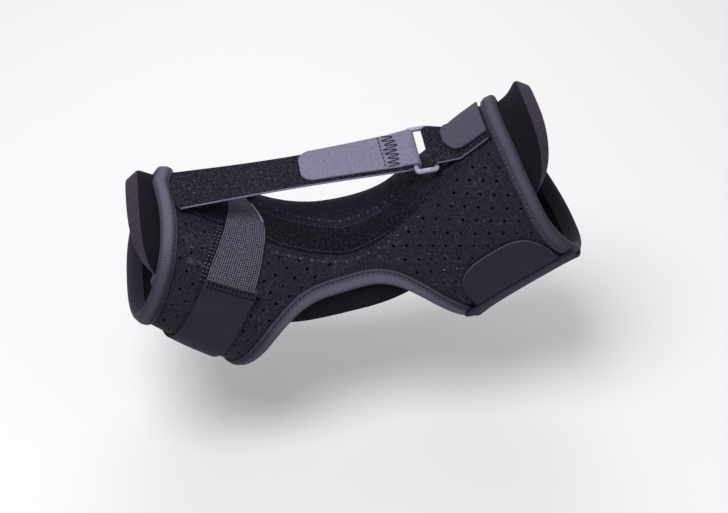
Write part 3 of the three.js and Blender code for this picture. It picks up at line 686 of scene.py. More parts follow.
def velvet():
    """The pocket's dense pile, darkest over the instep; towards the leg it wears like the wrap."""
    cloth = Cloth("velvet loop", (24, 22, 26), 1.0, sheen=0.1)
    nap = cloth.noise(950, 3)
    dark, light = [(0.36, (8, 7, 13)), (0.52, (20, 18, 27))], [(0.64, (41, 38, 50)), (0.76, (78, 74, 90))]
    pile = cloth.ramp(nap, dark + light)
    other_tone = cloth.ramp(nap, [(0.36, (20, 18, 28)), (0.55, (35, 33, 44)), (0.75, (72, 69, 86))])
    cloth.colour(cloth.mix(cloth.share(cloth.across("Y"), 14.0, 20.0), pile, other_tone))  # cm from the toe end
    return cloth.bump(nap, 0.7, 0.8).material


def elastic_thread():
    """Thread of the elastic: grey lavender, with faintly pinker patches."""
    cloth = Cloth("elastic thread", (92, 89, 105), 0.7, sheen=0.15)
    fibre = cloth.noise(900, 2)
    patches = cloth.share(cloth.noise(45, 2), 0.45, 0.7)
    cool = cloth.ramp(fibre, [(0.3, (72, 70, 85)), (0.7, (124, 121, 140))])
    warm = cloth.ramp(fibre, [(0.3, (74, 67, 80)), (0.7, (126, 115, 131))])
    cloth.colour(cloth.mix(patches, cool, warm))
    return cloth.bump(fibre, 0.15, 0.5).material


def smooth_knit():
    cloth = Cloth("smooth knit", (38, 36, 47), 0.9, sheen=0.12)
    wales = cloth.noise(1500, 2)
    clouds = cloth.noise(35, 3)
    plain = cloth.ramp(wales, [(0.3, (29, 27, 37)), (0.7, (43, 41, 53))])
    light = cloth.ramp(wales, [(0.3, (38, 36, 47)), (0.7, (56, 54, 68))])
    cloth.colour(cloth.mix(clouds, plain, light))
    return cloth.bump(wales, 0.15, 0.5).bump(clouds, 0.8, 0.2).material


VELVET = velvet()
ELASTIC = elastic_thread()
KNIT = smooth_knit()
print("pile, thread and knit:", [m.name for m in (VELVET, ELASTIC, KNIT)])

# %% [markdown]
# The straps are loop webbing, coarser than the wrap: black, with pale specks where loops catch the
# light. The tabs that stick to them are smooth and brushed, so only a faint weave shows. The ring is
# moulded plastic, the only hard and glossy thing here, so it alone has a full specular level.

# %% Straps, tabs and ring


def strap_loop():
    """The straps' fuzzy loop face: coarse specks of blue grey nap over black."""
    cloth = Cloth("strap loop", (26, 25, 33), 1.0, sheen=0.12)
    nap = cloth.noise(1000, 4, roughness=0.7)
    dark, light = [(0.38, (8, 8, 13)), (0.49, (25, 24, 34))], [(0.58, (47, 45, 59)), (0.7, (98, 95, 116))]
    cloth.colour(cloth.ramp(nap, dark + light))
    return cloth.bump(nap, 0.7, 0.8).material


def tab_cloth(name, colour):
    """The smooth brushed tabs: one grey, with a fine weave that only just shows."""
    cloth = Cloth(name, colour, 0.8, sheen=0.08)
    weave = cloth.math("MULTIPLY", cloth.ribs(0.8, "Y", distortion=1.5), cloth.ribs(1.1, "X", distortion=1.5))
    nap = cloth.math("ADD", cloth.noise(900, 3), cloth.math("MULTIPLY", weave, 0.25))
    low, high = (tuple(share * c for c in colour) for share in (0.82, 1.1))
    cloth.colour(cloth.ramp(nap, [(0.35, low), (0.85, high)]))
    return cloth.bump(nap, 0.25, 0.5).material


def ring_plastic():
    cloth = Cloth("grey plastic", (160, 157, 174), 0.35, gloss=0.5)
    marks = cloth.noise(300, 3)
    cloth.colour(cloth.ramp(marks, [(0.3, (140, 137, 155)), (0.7, (170, 167, 186))]))
    return cloth.bump(marks, 0.05, 0.3).material


STRAP = strap_loop()
TAB = tab_cloth("brushed tab", (128, 124, 147))
SHIN_TAB = tab_cloth("darker brushed tab", (80, 77, 95))
PLASTIC = ring_plastic()
print("straps, tabs and ring:", [m.name for m in (STRAP, TAB, SHIN_TAB, PLASTIC)])

# %% [markdown]
# Sewing thread is what the eye finds first on a soft thing, so each seam gets its own shade, from
# nearly black to nearly white. A twist of noise darkens it a little along its length.

# %% Sewing threads


def sewing_thread(name, colour):
    cloth = Cloth(name, colour, 0.6)
    twist = cloth.noise(1500, 1)
    low = tuple(0.8 * c for c in colour)
    cloth.colour(cloth.ramp(twist, [(0.3, low), (0.7, colour)]))
    return cloth.material


BLACK_THREAD = sewing_thread("black thread", (8, 8, 14))
DARK_THREAD = sewing_thread("dark thread", (22, 21, 34))
NAVY_THREAD = sewing_thread("navy thread", (38, 36, 66))
STRIP_THREAD = sewing_thread("strip thread", (84, 81, 96))
GREY_THREAD = sewing_thread("grey thread", (110, 107, 126))
OVERLOCK = sewing_thread("overlock thread", (112, 108, 123))
FLAP_EDGE = sewing_thread("flap edge", (114, 111, 128))
SELVEDGE = sewing_thread("selvedge", (132, 128, 156))
# a painted highlight on the elastic, drawn as a short near-white thread
ELASTIC_GLEAM = sewing_thread("painted gleam", (205, 203, 212))
print("materials:", len(bpy.data.materials))

# %% [markdown]
# The wrap is one piece of perforated cloth with rims at both ends and an oval cut out for the heel.
# The punched holes could be dark dots in the material, but seen along the cloth a real hole shows
# its wall, so we cut them. A constrained triangulation does that in the unrolled cloth: we give
# it the rims and every hole as rings of edges, fill in points between, throw away the triangles
# that lie in a hole, and only then lay the net on the worn shape and give it thickness.

# %% The unrolled cloth
HEEL_LENGTH = 121
HEEL_PLACE = 1
HEEL_ANGLE = 121.5
HEEL_SQUARE_TOES = 3.9
HEEL_SQUARE_LEG = 3.0
EDGE_TUCK = BINDING_CLOTH + LAYER_GAP


def heel_oval(turn):
    c, s = np.cos(turn), np.sin(turn)
    power = 2 / np.where(c < 0, HEEL_SQUARE_TOES, HEEL_SQUARE_LEG)
    place = HEEL_PLACE + np.sign(c) * np.abs(c) ** power * HEEL_LENGTH / 2
    angle = 180 + np.sign(s) * np.abs(s) ** power * HEEL_ANGLE
    return place, angle


def heel_rim(steps):
    """Evenly spaced spots round the heel opening, with a step of 1 mm away from it in the cloth."""
    fine_place, fine_angle = heel_oval(np.linspace(0, 2 * math.pi, 4001))
    points = hollow(fine_place, fine_angle)
    length = np.concatenate([[0], np.cumsum(np.linalg.norm(np.diff(points, axis=0), axis=1))])
    wanted = length[-1] * np.arange(steps) / steps
    place, angle = np.interp(wanted, length, fine_place), np.interp(wanted, length, fine_angle)
    tangent = hollow(np.roll(place, -1), np.roll(angle, -1)) - hollow(np.roll(place, 1), np.roll(angle, 1))
    along = (hollow(place + 1, angle) - hollow(place - 1, angle)) / 2
    around = (hollow(place, angle + 1) - hollow(place, angle - 1)) / 2
    place_share = (around * tangent).sum(-1)
    angle_share = -(along * tangent).sum(-1)
    size = np.linalg.norm(along * place_share[:, None] + around * angle_share[:, None], axis=-1)
    away = np.sign(place_share * (place - HEEL_PLACE) + angle_share * (angle - 180))
    return place, angle, away * place_share / size, away * angle_share / size, length[-1]


def stretch(place, angle):
    """Millimetres of cloth for one mm of place and for one degree, at a spot."""
    along = above(place + 1, angle, WRAP_CLOTH) - above(place - 1, angle, WRAP_CLOTH)
    around = above(place, angle + 1, WRAP_CLOTH) - above(place, angle - 1, WRAP_CLOTH)
    return np.linalg.norm(along, axis=-1) / 2, np.linalg.norm(around, axis=-1) / 2


print("heel opening, mm round its rim:", round(float(heel_rim(200)[4])))

# %% [markdown]
# The real cloth is punched in straight rows before it is sewn, and the rows run on a slant over
# each arm. So the holes are a lattice, measured in mm along the arm and round it: one first hole
# and two steps. No hole comes near a binding, under the pocket or over the heel opening.

# %% Where the cloth is punched
ROW_STEP_LEG = (7.16, 4.95)
COLUMN_STEP_LEG = (-5.9, 6.6)
ROW_STEP_FOOT = (6.25, 6.0)
COLUMN_STEP_FOOT = (-6.25, 6.0)
FIRST_HOLE_LEG = (93.4, 48.0)
FIRST_HOLE_FOOT = (134.3, 68.5)
SIDE_ANGLE = 90
POCKET_WIDTH = 18
POCKET_ANGLE = 25
POCKET_DRIFT = 20


def pocket_angle(place):
    place = np.asarray(place, float)
    to_toes = clamp(place / toe_rim(0))
    to_leg = clamp(place / leg_rim(0))
    return POCKET_ANGLE - POCKET_DRIFT * np.where(place < 0, to_toes, to_leg**1.5)


def punched_lattice(pitch, sign, first, row_step, column_step):
    """Hole centres of one arm: a lattice in mm along the arm and round it, from a first hole."""
    slope = math.radians(pitch)
    direction = np.array([math.cos(slope) * sign, 0, math.sin(slope)])
    angles = np.arange(-110, 251, 2.0)
    places = np.arange(-150, 151, 2.0) * 1.05
    grid_place, grid_angle = np.meshgrid(places, angles, indexing="ij")
    reach = above(grid_place, grid_angle, WRAP_CLOTH) @ direction
    around = stretch(grid_place, grid_angle)[1] * 2.0
    arc = np.cumsum(around, axis=1)
    arc = arc - arc[:, [int((SIDE_ANGLE + 110) / 2)]]
    k = np.arange(-60, 61)
    rows, columns = (v.ravel() for v in np.meshgrid(k, k))
    place = np.full(rows.shape, first[0] * sign)
    angle = np.full(rows.shape, float(SIDE_ANGLE))
    start_arc = np.interp(first[1], angles, arc[np.argmin(np.abs(places - first[0] * sign))])
    wanted_reach = first[0] + rows * row_step[0] + columns * column_step[0]
    wanted_arc = start_arc + rows * row_step[1] + columns * column_step[1]
    near = (wanted_reach > 20) & (wanted_reach < 175) & (np.abs(wanted_arc) < 200)
    wanted_reach, wanted_arc, place, angle = (v[near] for v in (wanted_reach, wanted_arc, place, angle))
    for _ in range(4):
        i = np.clip(np.searchsorted(places, place), 0, len(places) - 1)
        angle = np.array([np.interp(a, arc[p], angles) for a, p in zip(wanted_arc, i)])
        j = np.clip(np.round((angle + 110) / 2).astype(int), 0, len(angles) - 1)
        order = slice(None, None, sign)
        place = np.array([np.interp(r, reach[:, a][order], places[order]) for r, a in zip(wanted_reach, j)])
    return place, angle


def hole_centres():
    leg_place, leg_angle = punched_lattice(LEG_PITCH, 1, FIRST_HOLE_LEG, ROW_STEP_LEG, COLUMN_STEP_LEG)
    foot_place, foot_angle = punched_lattice(FOOT_PITCH, -1, FIRST_HOLE_FOOT, ROW_STEP_FOOT, COLUMN_STEP_FOOT)
    leg, foot = leg_place > 42, foot_place < -15
    place = np.concatenate([leg_place[leg], foot_place[foot]])
    angle = np.concatenate([leg_angle[leg], foot_angle[foot]])
    angle = (angle + 90) % 360 - 90
    _, first = np.unique(np.round(np.stack([place / 3, angle / 4]), 0), axis=1, return_index=True)
    place, angle = place[np.sort(first)], angle[np.sort(first)]
    margin = BINDING_WIDTH + 2.2
    keep = (place > toe_rim(angle) + margin) & (place < leg_rim(angle) - margin)
    keep &= np.abs(angle - pocket_angle(place)) > degrees_of(POCKET_WIDTH / 2 + 3)
    keep &= (np.abs(angle) > 12) | (place > 60)
    keep &= np.abs(angle) > 3
    rim_place, rim_angle, _, _, _ = heel_rim(240)
    rim = hollow(rim_place, rim_angle)
    spots = hollow(place, angle)
    distance = np.linalg.norm(spots[:, None] - rim[None], axis=-1).min(1)
    keep &= distance > BINDING_WIDTH + 2.0
    c, s = (place - HEEL_PLACE) / (HEEL_LENGTH / 2), (fold(angle) - 180) / HEEL_ANGLE
    keep &= np.abs(c) ** 3.4 + np.abs(s) ** 3.4 > 1
    return place[keep], angle[keep]


hole_place, hole_angle = hole_centres()
print("holes punched in the wrap:", len(hole_place))

# %% [markdown]
# Now the net itself, first flat. Its outline is the two rims and a seam down the sole, its inner
# rings are the heel opening and every hole, and between them lies a staggered grid of points that
# keeps the triangles even. Boolean cuts would do the same on the worn shape, but hundreds of them
# take long and leave slivers.

# %% Rings of the flat cloth
NET_PITCH = 3.4
HOLE_RADIUS = 1.1
HOLE_SIDES = 10
HOLE_SIZES = (0.82, 1.12)  # a punch wears, and the cloth stretches
RIM_STEPS = 130
SEAM_STEPS = 80
HEEL_STEPS = 220
FLAT_SCALE = degrees_of(1)  # turns degrees of the flat net into about a millimetre


def hole_rings():
    along, around = stretch(hole_place, hole_angle)
    turn = 2 * math.pi * np.arange(HOLE_SIDES) / HOLE_SIDES
    sizes = np.random.default_rng(3).uniform(*HOLE_SIZES, len(hole_place))
    rings = []
    for p, a, u, v, size in zip(hole_place, hole_angle % 360, along, around, sizes):
        across = np.cos(turn) * size * HOLE_RADIUS / u
        up = np.sin(turn) * size * HOLE_RADIUS / v
        rings.append(np.stack([p + across, (a + up) / FLAT_SCALE], 1))
    return rings


def flat_outline():
    """The cloth's edge and the rim of the heel opening, both tucked a little under their bindings."""
    angles = np.linspace(0, 360, RIM_STEPS + 1)
    toe = np.stack([toe_rim(angles) + EDGE_TUCK, angles / FLAT_SCALE], 1)
    leg = np.stack([leg_rim(angles) - EDGE_TUCK, angles / FLAT_SCALE], 1)
    share = np.linspace(0, 1, SEAM_STEPS + 1)[1:-1]
    seams = []
    for k in (0, -1):
        seams.append(np.stack([lerp(toe[k, 0], leg[k, 0], share), np.full(len(share), toe[k, 1])], 1))
    place, angle, place_step, angle_step, _ = heel_rim(HEEL_STEPS)
    heel = np.stack([place + place_step * EDGE_TUCK, (angle + angle_step * EDGE_TUCK) / FLAT_SCALE], 1)
    return np.concatenate([toe, seams[1], leg[::-1], seams[0][::-1]]), heel


def points_between(centres, heel):
    places = np.arange(-160, 161, NET_PITCH)
    angles = np.arange(NET_PITCH, 360 / FLAT_SCALE - 1, NET_PITCH)
    grid_p, grid_a = np.meshgrid(places, angles, indexing="ij")
    stagger = (np.arange(grid_p.shape[1]) % 2) * NET_PITCH / 2
    grid = np.stack([grid_p + stagger, grid_a], -1).reshape(-1, 2)
    angle = grid[:, 1] * FLAT_SCALE
    inside = grid[:, 0] > toe_rim(angle) + EDGE_TUCK + 1.5
    inside &= grid[:, 0] < leg_rim(angle) - EDGE_TUCK - 1.5
    grid = grid[inside]
    near = np.array([np.hypot(*(centres - g).T).min() for g in grid])
    to_heel = np.array([np.hypot(*(heel - g).T).min() for g in grid])
    return grid[(near > 2.2) & (to_heel > 1.5)]


print("rings of the flat cloth:", len(hole_rings()) + len(flat_outline()))

# %% The cut net


def inside_loop(points, loop):
    """Which points lie in a closed loop, by counting the edges that a ray crosses."""
    inside = np.zeros(len(points), bool)
    for a, b in zip(loop, np.roll(loop, -1, 0)):
        crosses = (a[1] > points[:, 1]) != (b[1] > points[:, 1])
        at = a[0] + (points[:, 1] - a[1]) / (b[1] - a[1] + 1e-12) * (b[0] - a[0])
        inside ^= crosses & (points[:, 0] < at)
    return inside


def cut_net():
    """Points of the flat net, and its triangles that are cloth and not a hole."""
    outline, heel = flat_outline()
    centres = np.stack([hole_place, (hole_angle % 360) / FLAT_SCALE], 1)
    points, edges, start = [], [], 0
    for loop in [outline, heel] + hole_rings():
        points.append(loop)
        edges += [(start + i, start + (i + 1) % len(loop)) for i in range(len(loop))]
        start += len(loop)
    points = np.concatenate(points + [points_between(centres, heel)])
    done = geometry.delaunay_2d_cdt([Vector(p) for p in points.tolist()], edges, [], 0, 1e-5)
    flat = np.array([tuple(v) for v in done[0]])
    faces = np.array(done[2])
    middle = flat[faces].mean(1)
    angle = middle[:, 1] * FLAT_SCALE
    keep = ~inside_loop(middle, heel)
    keep &= middle[:, 0] > toe_rim(angle) + EDGE_TUCK - 0.02
    keep &= middle[:, 0] < leg_rim(angle) - EDGE_TUCK + 0.02
    along, around = stretch(centres[:, 0], centres[:, 1] * FLAT_SCALE)
    for start in range(0, len(faces), 4000):  # in parts, to spare memory
        gap = middle[start:start + 4000, None] - centres[None]
        distance = np.hypot(gap[..., 0] * along, gap[..., 1] * around * FLAT_SCALE)
        keep[start:start + 4000] &= distance.min(1) > HOLE_RADIUS * 0.97
    return flat, faces[keep]


flat_net = cut_net()
print("triangles in the flat net:", len(flat_net[1]))

# %% [markdown]
# Laid on the worn shape, the net meets itself at the sole, where its double points are joined. A
# soft ripple, a third of a millimetre deep, keeps the cloth from looking like sheet metal. The
# inner face is the same net on the hollow, in the dark lining, and every open edge gets a wall, so
# each hole shows the thickness of the cloth.

# %% The perforated wrap
WRAP_RIPPLE = 0.35


def ripple(points, size, seed):
    """A soft wave over a surface, from -1 to 1, the same each time."""
    return np.array([noise.noise(Vector(p) / size + Vector((seed, 2 * seed, 0))) for p in points])


def worn_net(flat, faces):
    """Outer and inner points of the net on the worn shape, with its seam joined."""
    place, angle = flat[:, 0], flat[:, 1] * FLAT_SCALE
    wave = ripple(above(place, angle, WRAP_CLOTH), 17, 3.0) * WRAP_RIPPLE
    outer = above(place, angle, WRAP_CLOTH + np.minimum(wave, 0.0))
    _, first, same = np.unique(np.round(outer / 0.02), axis=0, return_index=True, return_inverse=True)
    faces = same.ravel()[faces]
    outer, inner = outer[first], above(place, angle, 0.0)[first]
    faces = faces[(faces[:, 0] != faces[:, 1]) & (faces[:, 1] != faces[:, 2]) & (faces[:, 2] != faces[:, 0])]
    a, b, c = (outer[faces[:, k]] for k in range(3))
    outwards = ((np.cross(b - a, c - a) * (outer - inner)[faces[:, 0]]).sum(-1)) > 0
    return outer, inner, flat[first], np.where(outwards[:, None], faces, faces[:, ::-1])


def edge_walls(faces, count):
    """Quads between the two faces of the cloth, along every edge that only one triangle has."""
    edges = np.concatenate([faces[:, [0, 1]], faces[:, [1, 2]], faces[:, [2, 0]]])
    _, index, times = np.unique(np.sort(edges, axis=1), axis=0, return_index=True, return_counts=True)
    return [(p, p + count, q + count, q) for p, q in edges[index[times == 1]]]


def perforated_wrap():
    outer, inner, flat, faces = worn_net(*flat_net)
    count = len(outer)
    everything = faces.tolist() + (faces[:, ::-1] + count).tolist() + edge_walls(faces, count)
    points, both = np.concatenate([outer, inner]), np.concatenate([flat, flat])
    piece = link_mesh("wrap_cloth", points, everything, LOOP, both)
    piece.data.materials.append(LINING)
    for i in range(len(faces), 2 * len(faces)):
        piece.data.polygons[i].material_index = 1
    join = bmesh.new()
    join.from_mesh(piece.data)
    bmesh.ops.delete(join, geom=[v for v in join.verts if not v.link_faces], context="VERTS")
    join.to_mesh(piece.data)
    join.free()
    piece.data.set_sharp_from_angle(angle=math.radians(50))
    return dress(piece, "black_loop_cloth", "wrap_shell")


wrap = perforated_wrap()

# %% [markdown]
# The pad is soft foam in a thin lining. It is held flat between the limb and the wrap, and bulges
# only where it comes out at its two ends. A cloth simulation with a little air pressure gives such
# a bulge by itself: the pad is one closed grid, its held part is pinned, and some frames let the
# free ends swell. We then cap how far any point moved.

# %% The shape of the pad
PAD_ANGLE = 77
PAD_TOE_REACH = 9
PAD_LEG_REACH = 18.5
PAD_FLARE = 5
PAD_BEVEL = 5.5
PAD_WAIST = 2.8
PAD_OUTSIDE = -LAYER_GAP - BINDING_CLOTH - LAYER_GAP
PAD_INSIDE = PAD_OUTSIDE - PAD_FOAM
HELD_PART = 0.8


def pad_dome(angle, spread, flat_top):
    side = clamp(fold(angle) / (PAD_ANGLE * spread))
    return (1 - side**flat_top) ** 0.67


def pad_spot(u, t, lean, height):
    """A point of the pad: u across from -1 to 1, t along, lean pushes its ends out."""
    waist = PAD_WAIST * (1 - ease(np.abs(t - 0.43), 0, 0.215))
    angle = u * (PAD_ANGLE - waist)
    toe, leg = pad_dome(angle, 0.86, 2.1), pad_dome(angle, 0.93, 2.5)
    start = lerp(float(toe_rim(PAD_ANGLE)), float(toe_rim(0)) - PAD_TOE_REACH, toe) - lean * toe
    end = lerp(float(leg_rim(PAD_ANGLE)) - BINDING_WIDTH, float(leg_rim(0)) + PAD_LEG_REACH, leg) + lean * leg
    rim = np.minimum(leg_rim(angle), lerp(start, end, HELD_PART))
    held = lerp(start, rim, t / HELD_PART)
    free = lerp(rim, end, (t - HELD_PART) / (1 - HELD_PART))
    place = np.where(t < HELD_PART, held, free)
    flare = PAD_FLARE * ease(place, leg_rim(angle) + BINDING_WIDTH / 2, float(leg_rim(0)) + PAD_LEG_REACH)
    return above(place, angle, height + flare)


middle_slice = pad_spot(np.zeros(2), np.array([0.0, 1.0]), 0.0, PAD_OUTSIDE)
print("pad from end to end, mm:", round(float(np.linalg.norm(middle_slice[1] - middle_slice[0])), 1))

# %% The pad's grid


def pad_mesh(columns=57, walls=4):
    """A closed pad on one grid, so that its end faces keep their edges and can have their own cloth."""
    toe_end, held = np.linspace(0, 0.06, 7)[:-1], np.linspace(0.06, HELD_PART, 60)[:-1]
    steps = np.concatenate([toe_end, held, np.linspace(HELD_PART, 1, 17)])
    rows = len(steps)
    u, t = np.meshgrid(np.linspace(-1, 1, columns), steps)
    inner = pad_spot(u, t, PAD_BEVEL, PAD_INSIDE)
    outer = pad_spot(u, t, 0.0, PAD_OUTSIDE)
    near = [(0, i) for i in range(columns)]
    right = [(j, columns - 1) for j in range(1, rows)]
    far = [(rows - 1, i) for i in range(columns - 2, -1, -1)]
    left = [(j, 0) for j in range(rows - 2, 0, -1)]
    rim = np.array(near + right + far + left)
    count, length = rows * columns, len(rim)
    layers = [lerp(inner, outer, k / walls)[rim[:, 0], rim[:, 1]] for k in range(1, walls)]
    points = np.concatenate([inner.reshape(-1, 3), outer.reshape(-1, 3)] + layers)
    flat = grid_faces(rows, columns)
    faces = [f[::-1] for f in flat] + [tuple(count + k for k in f) for f in flat]
    start = 2 * count
    bottom = rim[:, 0] * columns + rim[:, 1]
    rings = [bottom] + [start + k * length + np.arange(length) for k in range(walls - 1)] + [count + bottom]
    ends = []
    for low, high in zip(rings[:-1], rings[1:]):
        for i in range(length):
            n = (i + 1) % length
            on_end = (rim[i, 0] == rim[n, 0]) and rim[i, 0] in (0, rows - 1)
            if on_end:
                ends.append(len(faces))
            faces.append((low[i], low[n], high[n], high[i]))
    piece = link_mesh("foam_pad_cloth", points, faces, LINING)
    piece.data.materials.append(PAD_END)
    for i in ends:
        piece.data.polygons[i].material_index = 1
    return piece


pad = pad_mesh()
print("squares in the pad's grid:", len(pad.data.polygons))

# %% Swelling its free ends
SWELL_CAP = 1.6
SWELL_FRAMES = 20


def free_share(points):
    """0 where the wrap holds the pad down, 1 at its free ends, from the distance past the rims."""
    angles = np.arange(-PAD_ANGLE, PAD_ANGLE + 1, 7.0)
    toe = above(toe_rim(angles), angles, PAD_OUTSIDE)
    leg = above(leg_rim(angles), angles, PAD_OUTSIDE)
    low, high = math.radians(FOOT_PITCH), math.radians(LEG_PITCH)
    to_toes = np.array([-math.cos(low), 0, math.sin(low)])
    to_leg = np.array([math.cos(high), 0, math.sin(high)])

    def past(rim, direction):
        side = unit(rim - rim.mean(0))
        near = np.argmax(unit(points - rim.mean(0)) @ side.T, axis=1)
        return (points - rim[near]) @ direction

    return np.maximum(ease(past(toe, to_toes), 0.5, 6), ease(past(leg, to_leg), 0.5, 8))


def swell(piece, cap):
    """Cloth simulation with air pressure; the held part is pinned, and no point moves past the cap."""
    before = np.array([v.co[:] for v in piece.data.vertices])
    free = free_share(before / MM)
    group = piece.vertex_groups.new(name="held")
    for i, share in enumerate(free):
        group.add([i], float(1 - share), "REPLACE")
    cloth = piece.modifiers.new("cloth", "CLOTH")
    cloth.settings.use_pressure = True
    cloth.settings.uniform_pressure_force = 4
    cloth.settings.vertex_group_mass = "held"
    cloth.settings.effector_weights.gravity = 0
    cloth.settings.quality = 4
    cloth.settings.bending_stiffness = 2
    for frame_number in range(1, SWELL_FRAMES + 1):
        bpy.context.scene.frame_set(frame_number)
    settle(piece)
    bpy.context.scene.frame_set(1)
    after = np.array([v.co[:] for v in piece.data.vertices])
    move = after - before
    size = np.linalg.norm(move, axis=1, keepdims=True)
    move *= np.minimum(1, cap * MM / np.maximum(size, 1e-9)) * free[:, None]
    piece.data.vertices.foreach_set("co", (before + move).ravel())
    print("pad swelled by up to, mm:", round(float(np.linalg.norm(move, axis=1).max() / MM), 2))
    return piece


swell(pad, SWELL_CAP)
finer = pad.modifiers.new("finer", "SUBSURF")
finer.levels = finer.render_levels = 1
settle(pad)
dress(pad, "pad_cloth", "foam_pad")

# %% [markdown]
# A folded binding covers each rim. On the real splint it is a ribbed elastic tape, folded over the
# edge and sewn down with one row of stitches close to its inner edge. We carry its section, a fold
# with two flat legs, round the rim; the ribs are in the material, the stitches are small
# capsules. A curve with a bevel profile would be shorter, but can't follow the cloth's own slope.

# %% The fold and its sweep round a rim
STITCH_INSET = 8.1
FOLD_PLUMP = 0.7
SEWN_DEPTH = 0.45


def binding_section(steps=11):
    """The fold's outline: distance from the rim into the cloth, and height above the hollow."""
    middle = WRAP_CLOTH / 2
    nose = BINDING_OUTSIDE - middle
    legs = np.linspace(BINDING_WIDTH, nose, steps)
    crown = FOLD_PLUMP * np.sin(math.pi * clamp((BINDING_WIDTH - legs) / (BINDING_WIDTH - nose)))
    sewn = SEWN_DEPTH * ease(legs, STITCH_INSET - 1.5, STITCH_INSET)
    sewn *= 1 - ease(legs, STITCH_INSET, STITCH_INSET + 1.2)
    pressed = 0.5 * ease(legs, BINDING_WIDTH - 1.3, BINDING_WIDTH)
    top = np.stack([legs, middle + nose + crown - sewn - pressed], 1)
    turn = np.linspace(0, math.pi, 9)[1:-1]
    bend = np.stack([nose * (1 - np.sin(turn)), middle + nose * np.cos(turn)], 1)
    under = np.stack([legs[::-1], np.full(steps, middle - nose)], 1)
    lining = np.array([
        (BINDING_WIDTH, middle - nose + BINDING_CLOTH),
        (BINDING_CLOTH, middle - nose + BINDING_CLOTH),
        (BINDING_CLOTH, middle + nose - BINDING_CLOTH),
        (BINDING_WIDTH, middle + nose - BINDING_CLOTH),
    ])
    return np.concatenate([top, bend, under, lining])


def line_lengths(points):
    """How far along a closed line each point is, the start counted again at the end."""
    steps = np.linalg.norm(np.diff(np.concatenate([points, points[:1]]), axis=0), axis=1)
    return np.concatenate([[0], np.cumsum(steps)])


def sweep(name, spots, material, lengths):
    """Closes a section carried round a loop: spots is steps, corners, 3."""
    steps, corners = spots.shape[:2]
    rows = np.concatenate([spots, spots[:1]])
    faces = []
    flat_width = line_lengths(spots[0])[:-1]
    for i in range(steps):
        for k in range(corners):
            n = (k + 1) % corners
            faces.append((i * corners + k, (i + 1) * corners + k, (i + 1) * corners + n, i * corners + n))
    run = unit(np.roll(spots[:, 0], -1, 0) - np.roll(spots[:, 0], 1, 0))
    shear = ((spots - spots[:, :1]) * run[:, None]).sum(-1)
    shear = np.concatenate([shear, shear[:1]])
    flat = np.stack(np.broadcast_arrays(lengths[:, None] + shear, flat_width[None]), -1)
    piece = link_mesh(name, rows.reshape(-1, 3), faces, material, flat.reshape(-1, 2))
    join = bmesh.new()
    join.from_mesh(piece.data)
    bmesh.ops.remove_doubles(join, verts=join.verts, dist=0.005 * MM)
    bmesh.ops.recalc_face_normals(join, faces=join.faces)
    join.to_mesh(piece.data)
    join.free()
    piece.data.shade_smooth()
    piece.data.set_sharp_from_angle(angle=math.radians(60))
    return piece


print("width of the folded tape, mm:", round(float(np.ptp(binding_section()[:, 0])), 1))

# %% [markdown]
# A stitch is a short thread that dips into the cloth at both ends. A texture of dashes would lie
# flat, and one curve with a bevel has no ends, so each stitch is a thin prism with two points, and
# one helper makes all the stitches of a row as one mesh. A second helper cuts a line into stitches.

# %% Stitches
STITCH_LENGTH = 2.3
STITCH_RADIUS = 0.26
STITCH_PITCH = 3.4


def capsules(name, ends, radius, material, sides=6):
    """Short threads from pairs of points: a thin prism with pointed ends each."""
    a, b = ends[:, 0], ends[:, 1]
    direction = unit(b - a)
    helper = np.where(np.abs(direction[:, 2:3]) < 0.9, [[0, 0, 1.0]], [[1.0, 0, 0]])
    side = unit(np.cross(direction, helper))
    other = np.cross(direction, side)
    turn = 2 * math.pi * np.arange(sides) / sides
    ring = side[:, None] * np.cos(turn)[None, :, None] + other[:, None] * np.sin(turn)[None, :, None]
    shares = [(0.0, 0.0), (0.12, 0.8), (0.5, 1.0), (0.88, 0.8), (1.0, 0.0)]
    rings = []
    for share, width in shares[1:-1]:
        rings.append((a + (b - a) * share)[:, None] + ring * radius * width)
    block = np.concatenate([a[:, None]] + rings + [b[:, None]], axis=1)
    per = block.shape[1]
    faces = []
    for i in range(len(block)):
        o = i * per
        for k in range(sides):
            n = (k + 1) % sides
            faces.append((o, o + 1 + n, o + 1 + k))
            for r in range(2):
                p = o + 1 + r * sides
                faces.append((p + k, p + n, p + sides + n, p + sides + k))
            p = o + 1 + 2 * sides
            faces.append((p + k, p + n, o + per - 1))
    return link_mesh(name, block.reshape(-1, 3), faces, material)


def stitch_row(points, length=STITCH_LENGTH, pitch=STITCH_PITCH, closed=False):
    """Pairs of ends for stitches that follow a line of points."""
    line = np.concatenate([points, points[:1]]) if closed else points
    far = line_lengths(line)[:-1]
    count = int(far[-1] / pitch)
    starts = (np.arange(count) + 0.25) * far[-1] / count
    at = np.stack([starts, starts + length], 1)
    return np.stack([np.interp(at, far, line[:, k]) for k in range(3)], -1)


print("stitches in 100 mm:", len(stitch_row(np.array([[0.0, 0, 0], [100, 0, 0]]))))

# %% The bindings
SEAM_HEIGHT = BINDING_OUTSIDE + 0.2


def rim_binding(name, rim, inwards, node, material, thread, steps=300):
    """A tape round one end; inwards is 1 or -1, the way from the rim into the cloth."""
    angle = 360 * np.arange(steps) / steps
    section = binding_section()
    spots = above(rim(angle)[:, None] + inwards * section[None, :, 0], angle[:, None], section[None, :, 1])
    piece = sweep(name, spots, material, line_lengths(spots[:, 0]))
    dress(piece, "slate_binding", node)
    seam = above(rim(angle) + inwards * STITCH_INSET, angle, SEAM_HEIGHT)
    threads = capsules(name + "_stitches", stitch_row(seam, closed=True), STITCH_RADIUS, thread)
    return piece, dress(threads, "slate_binding")


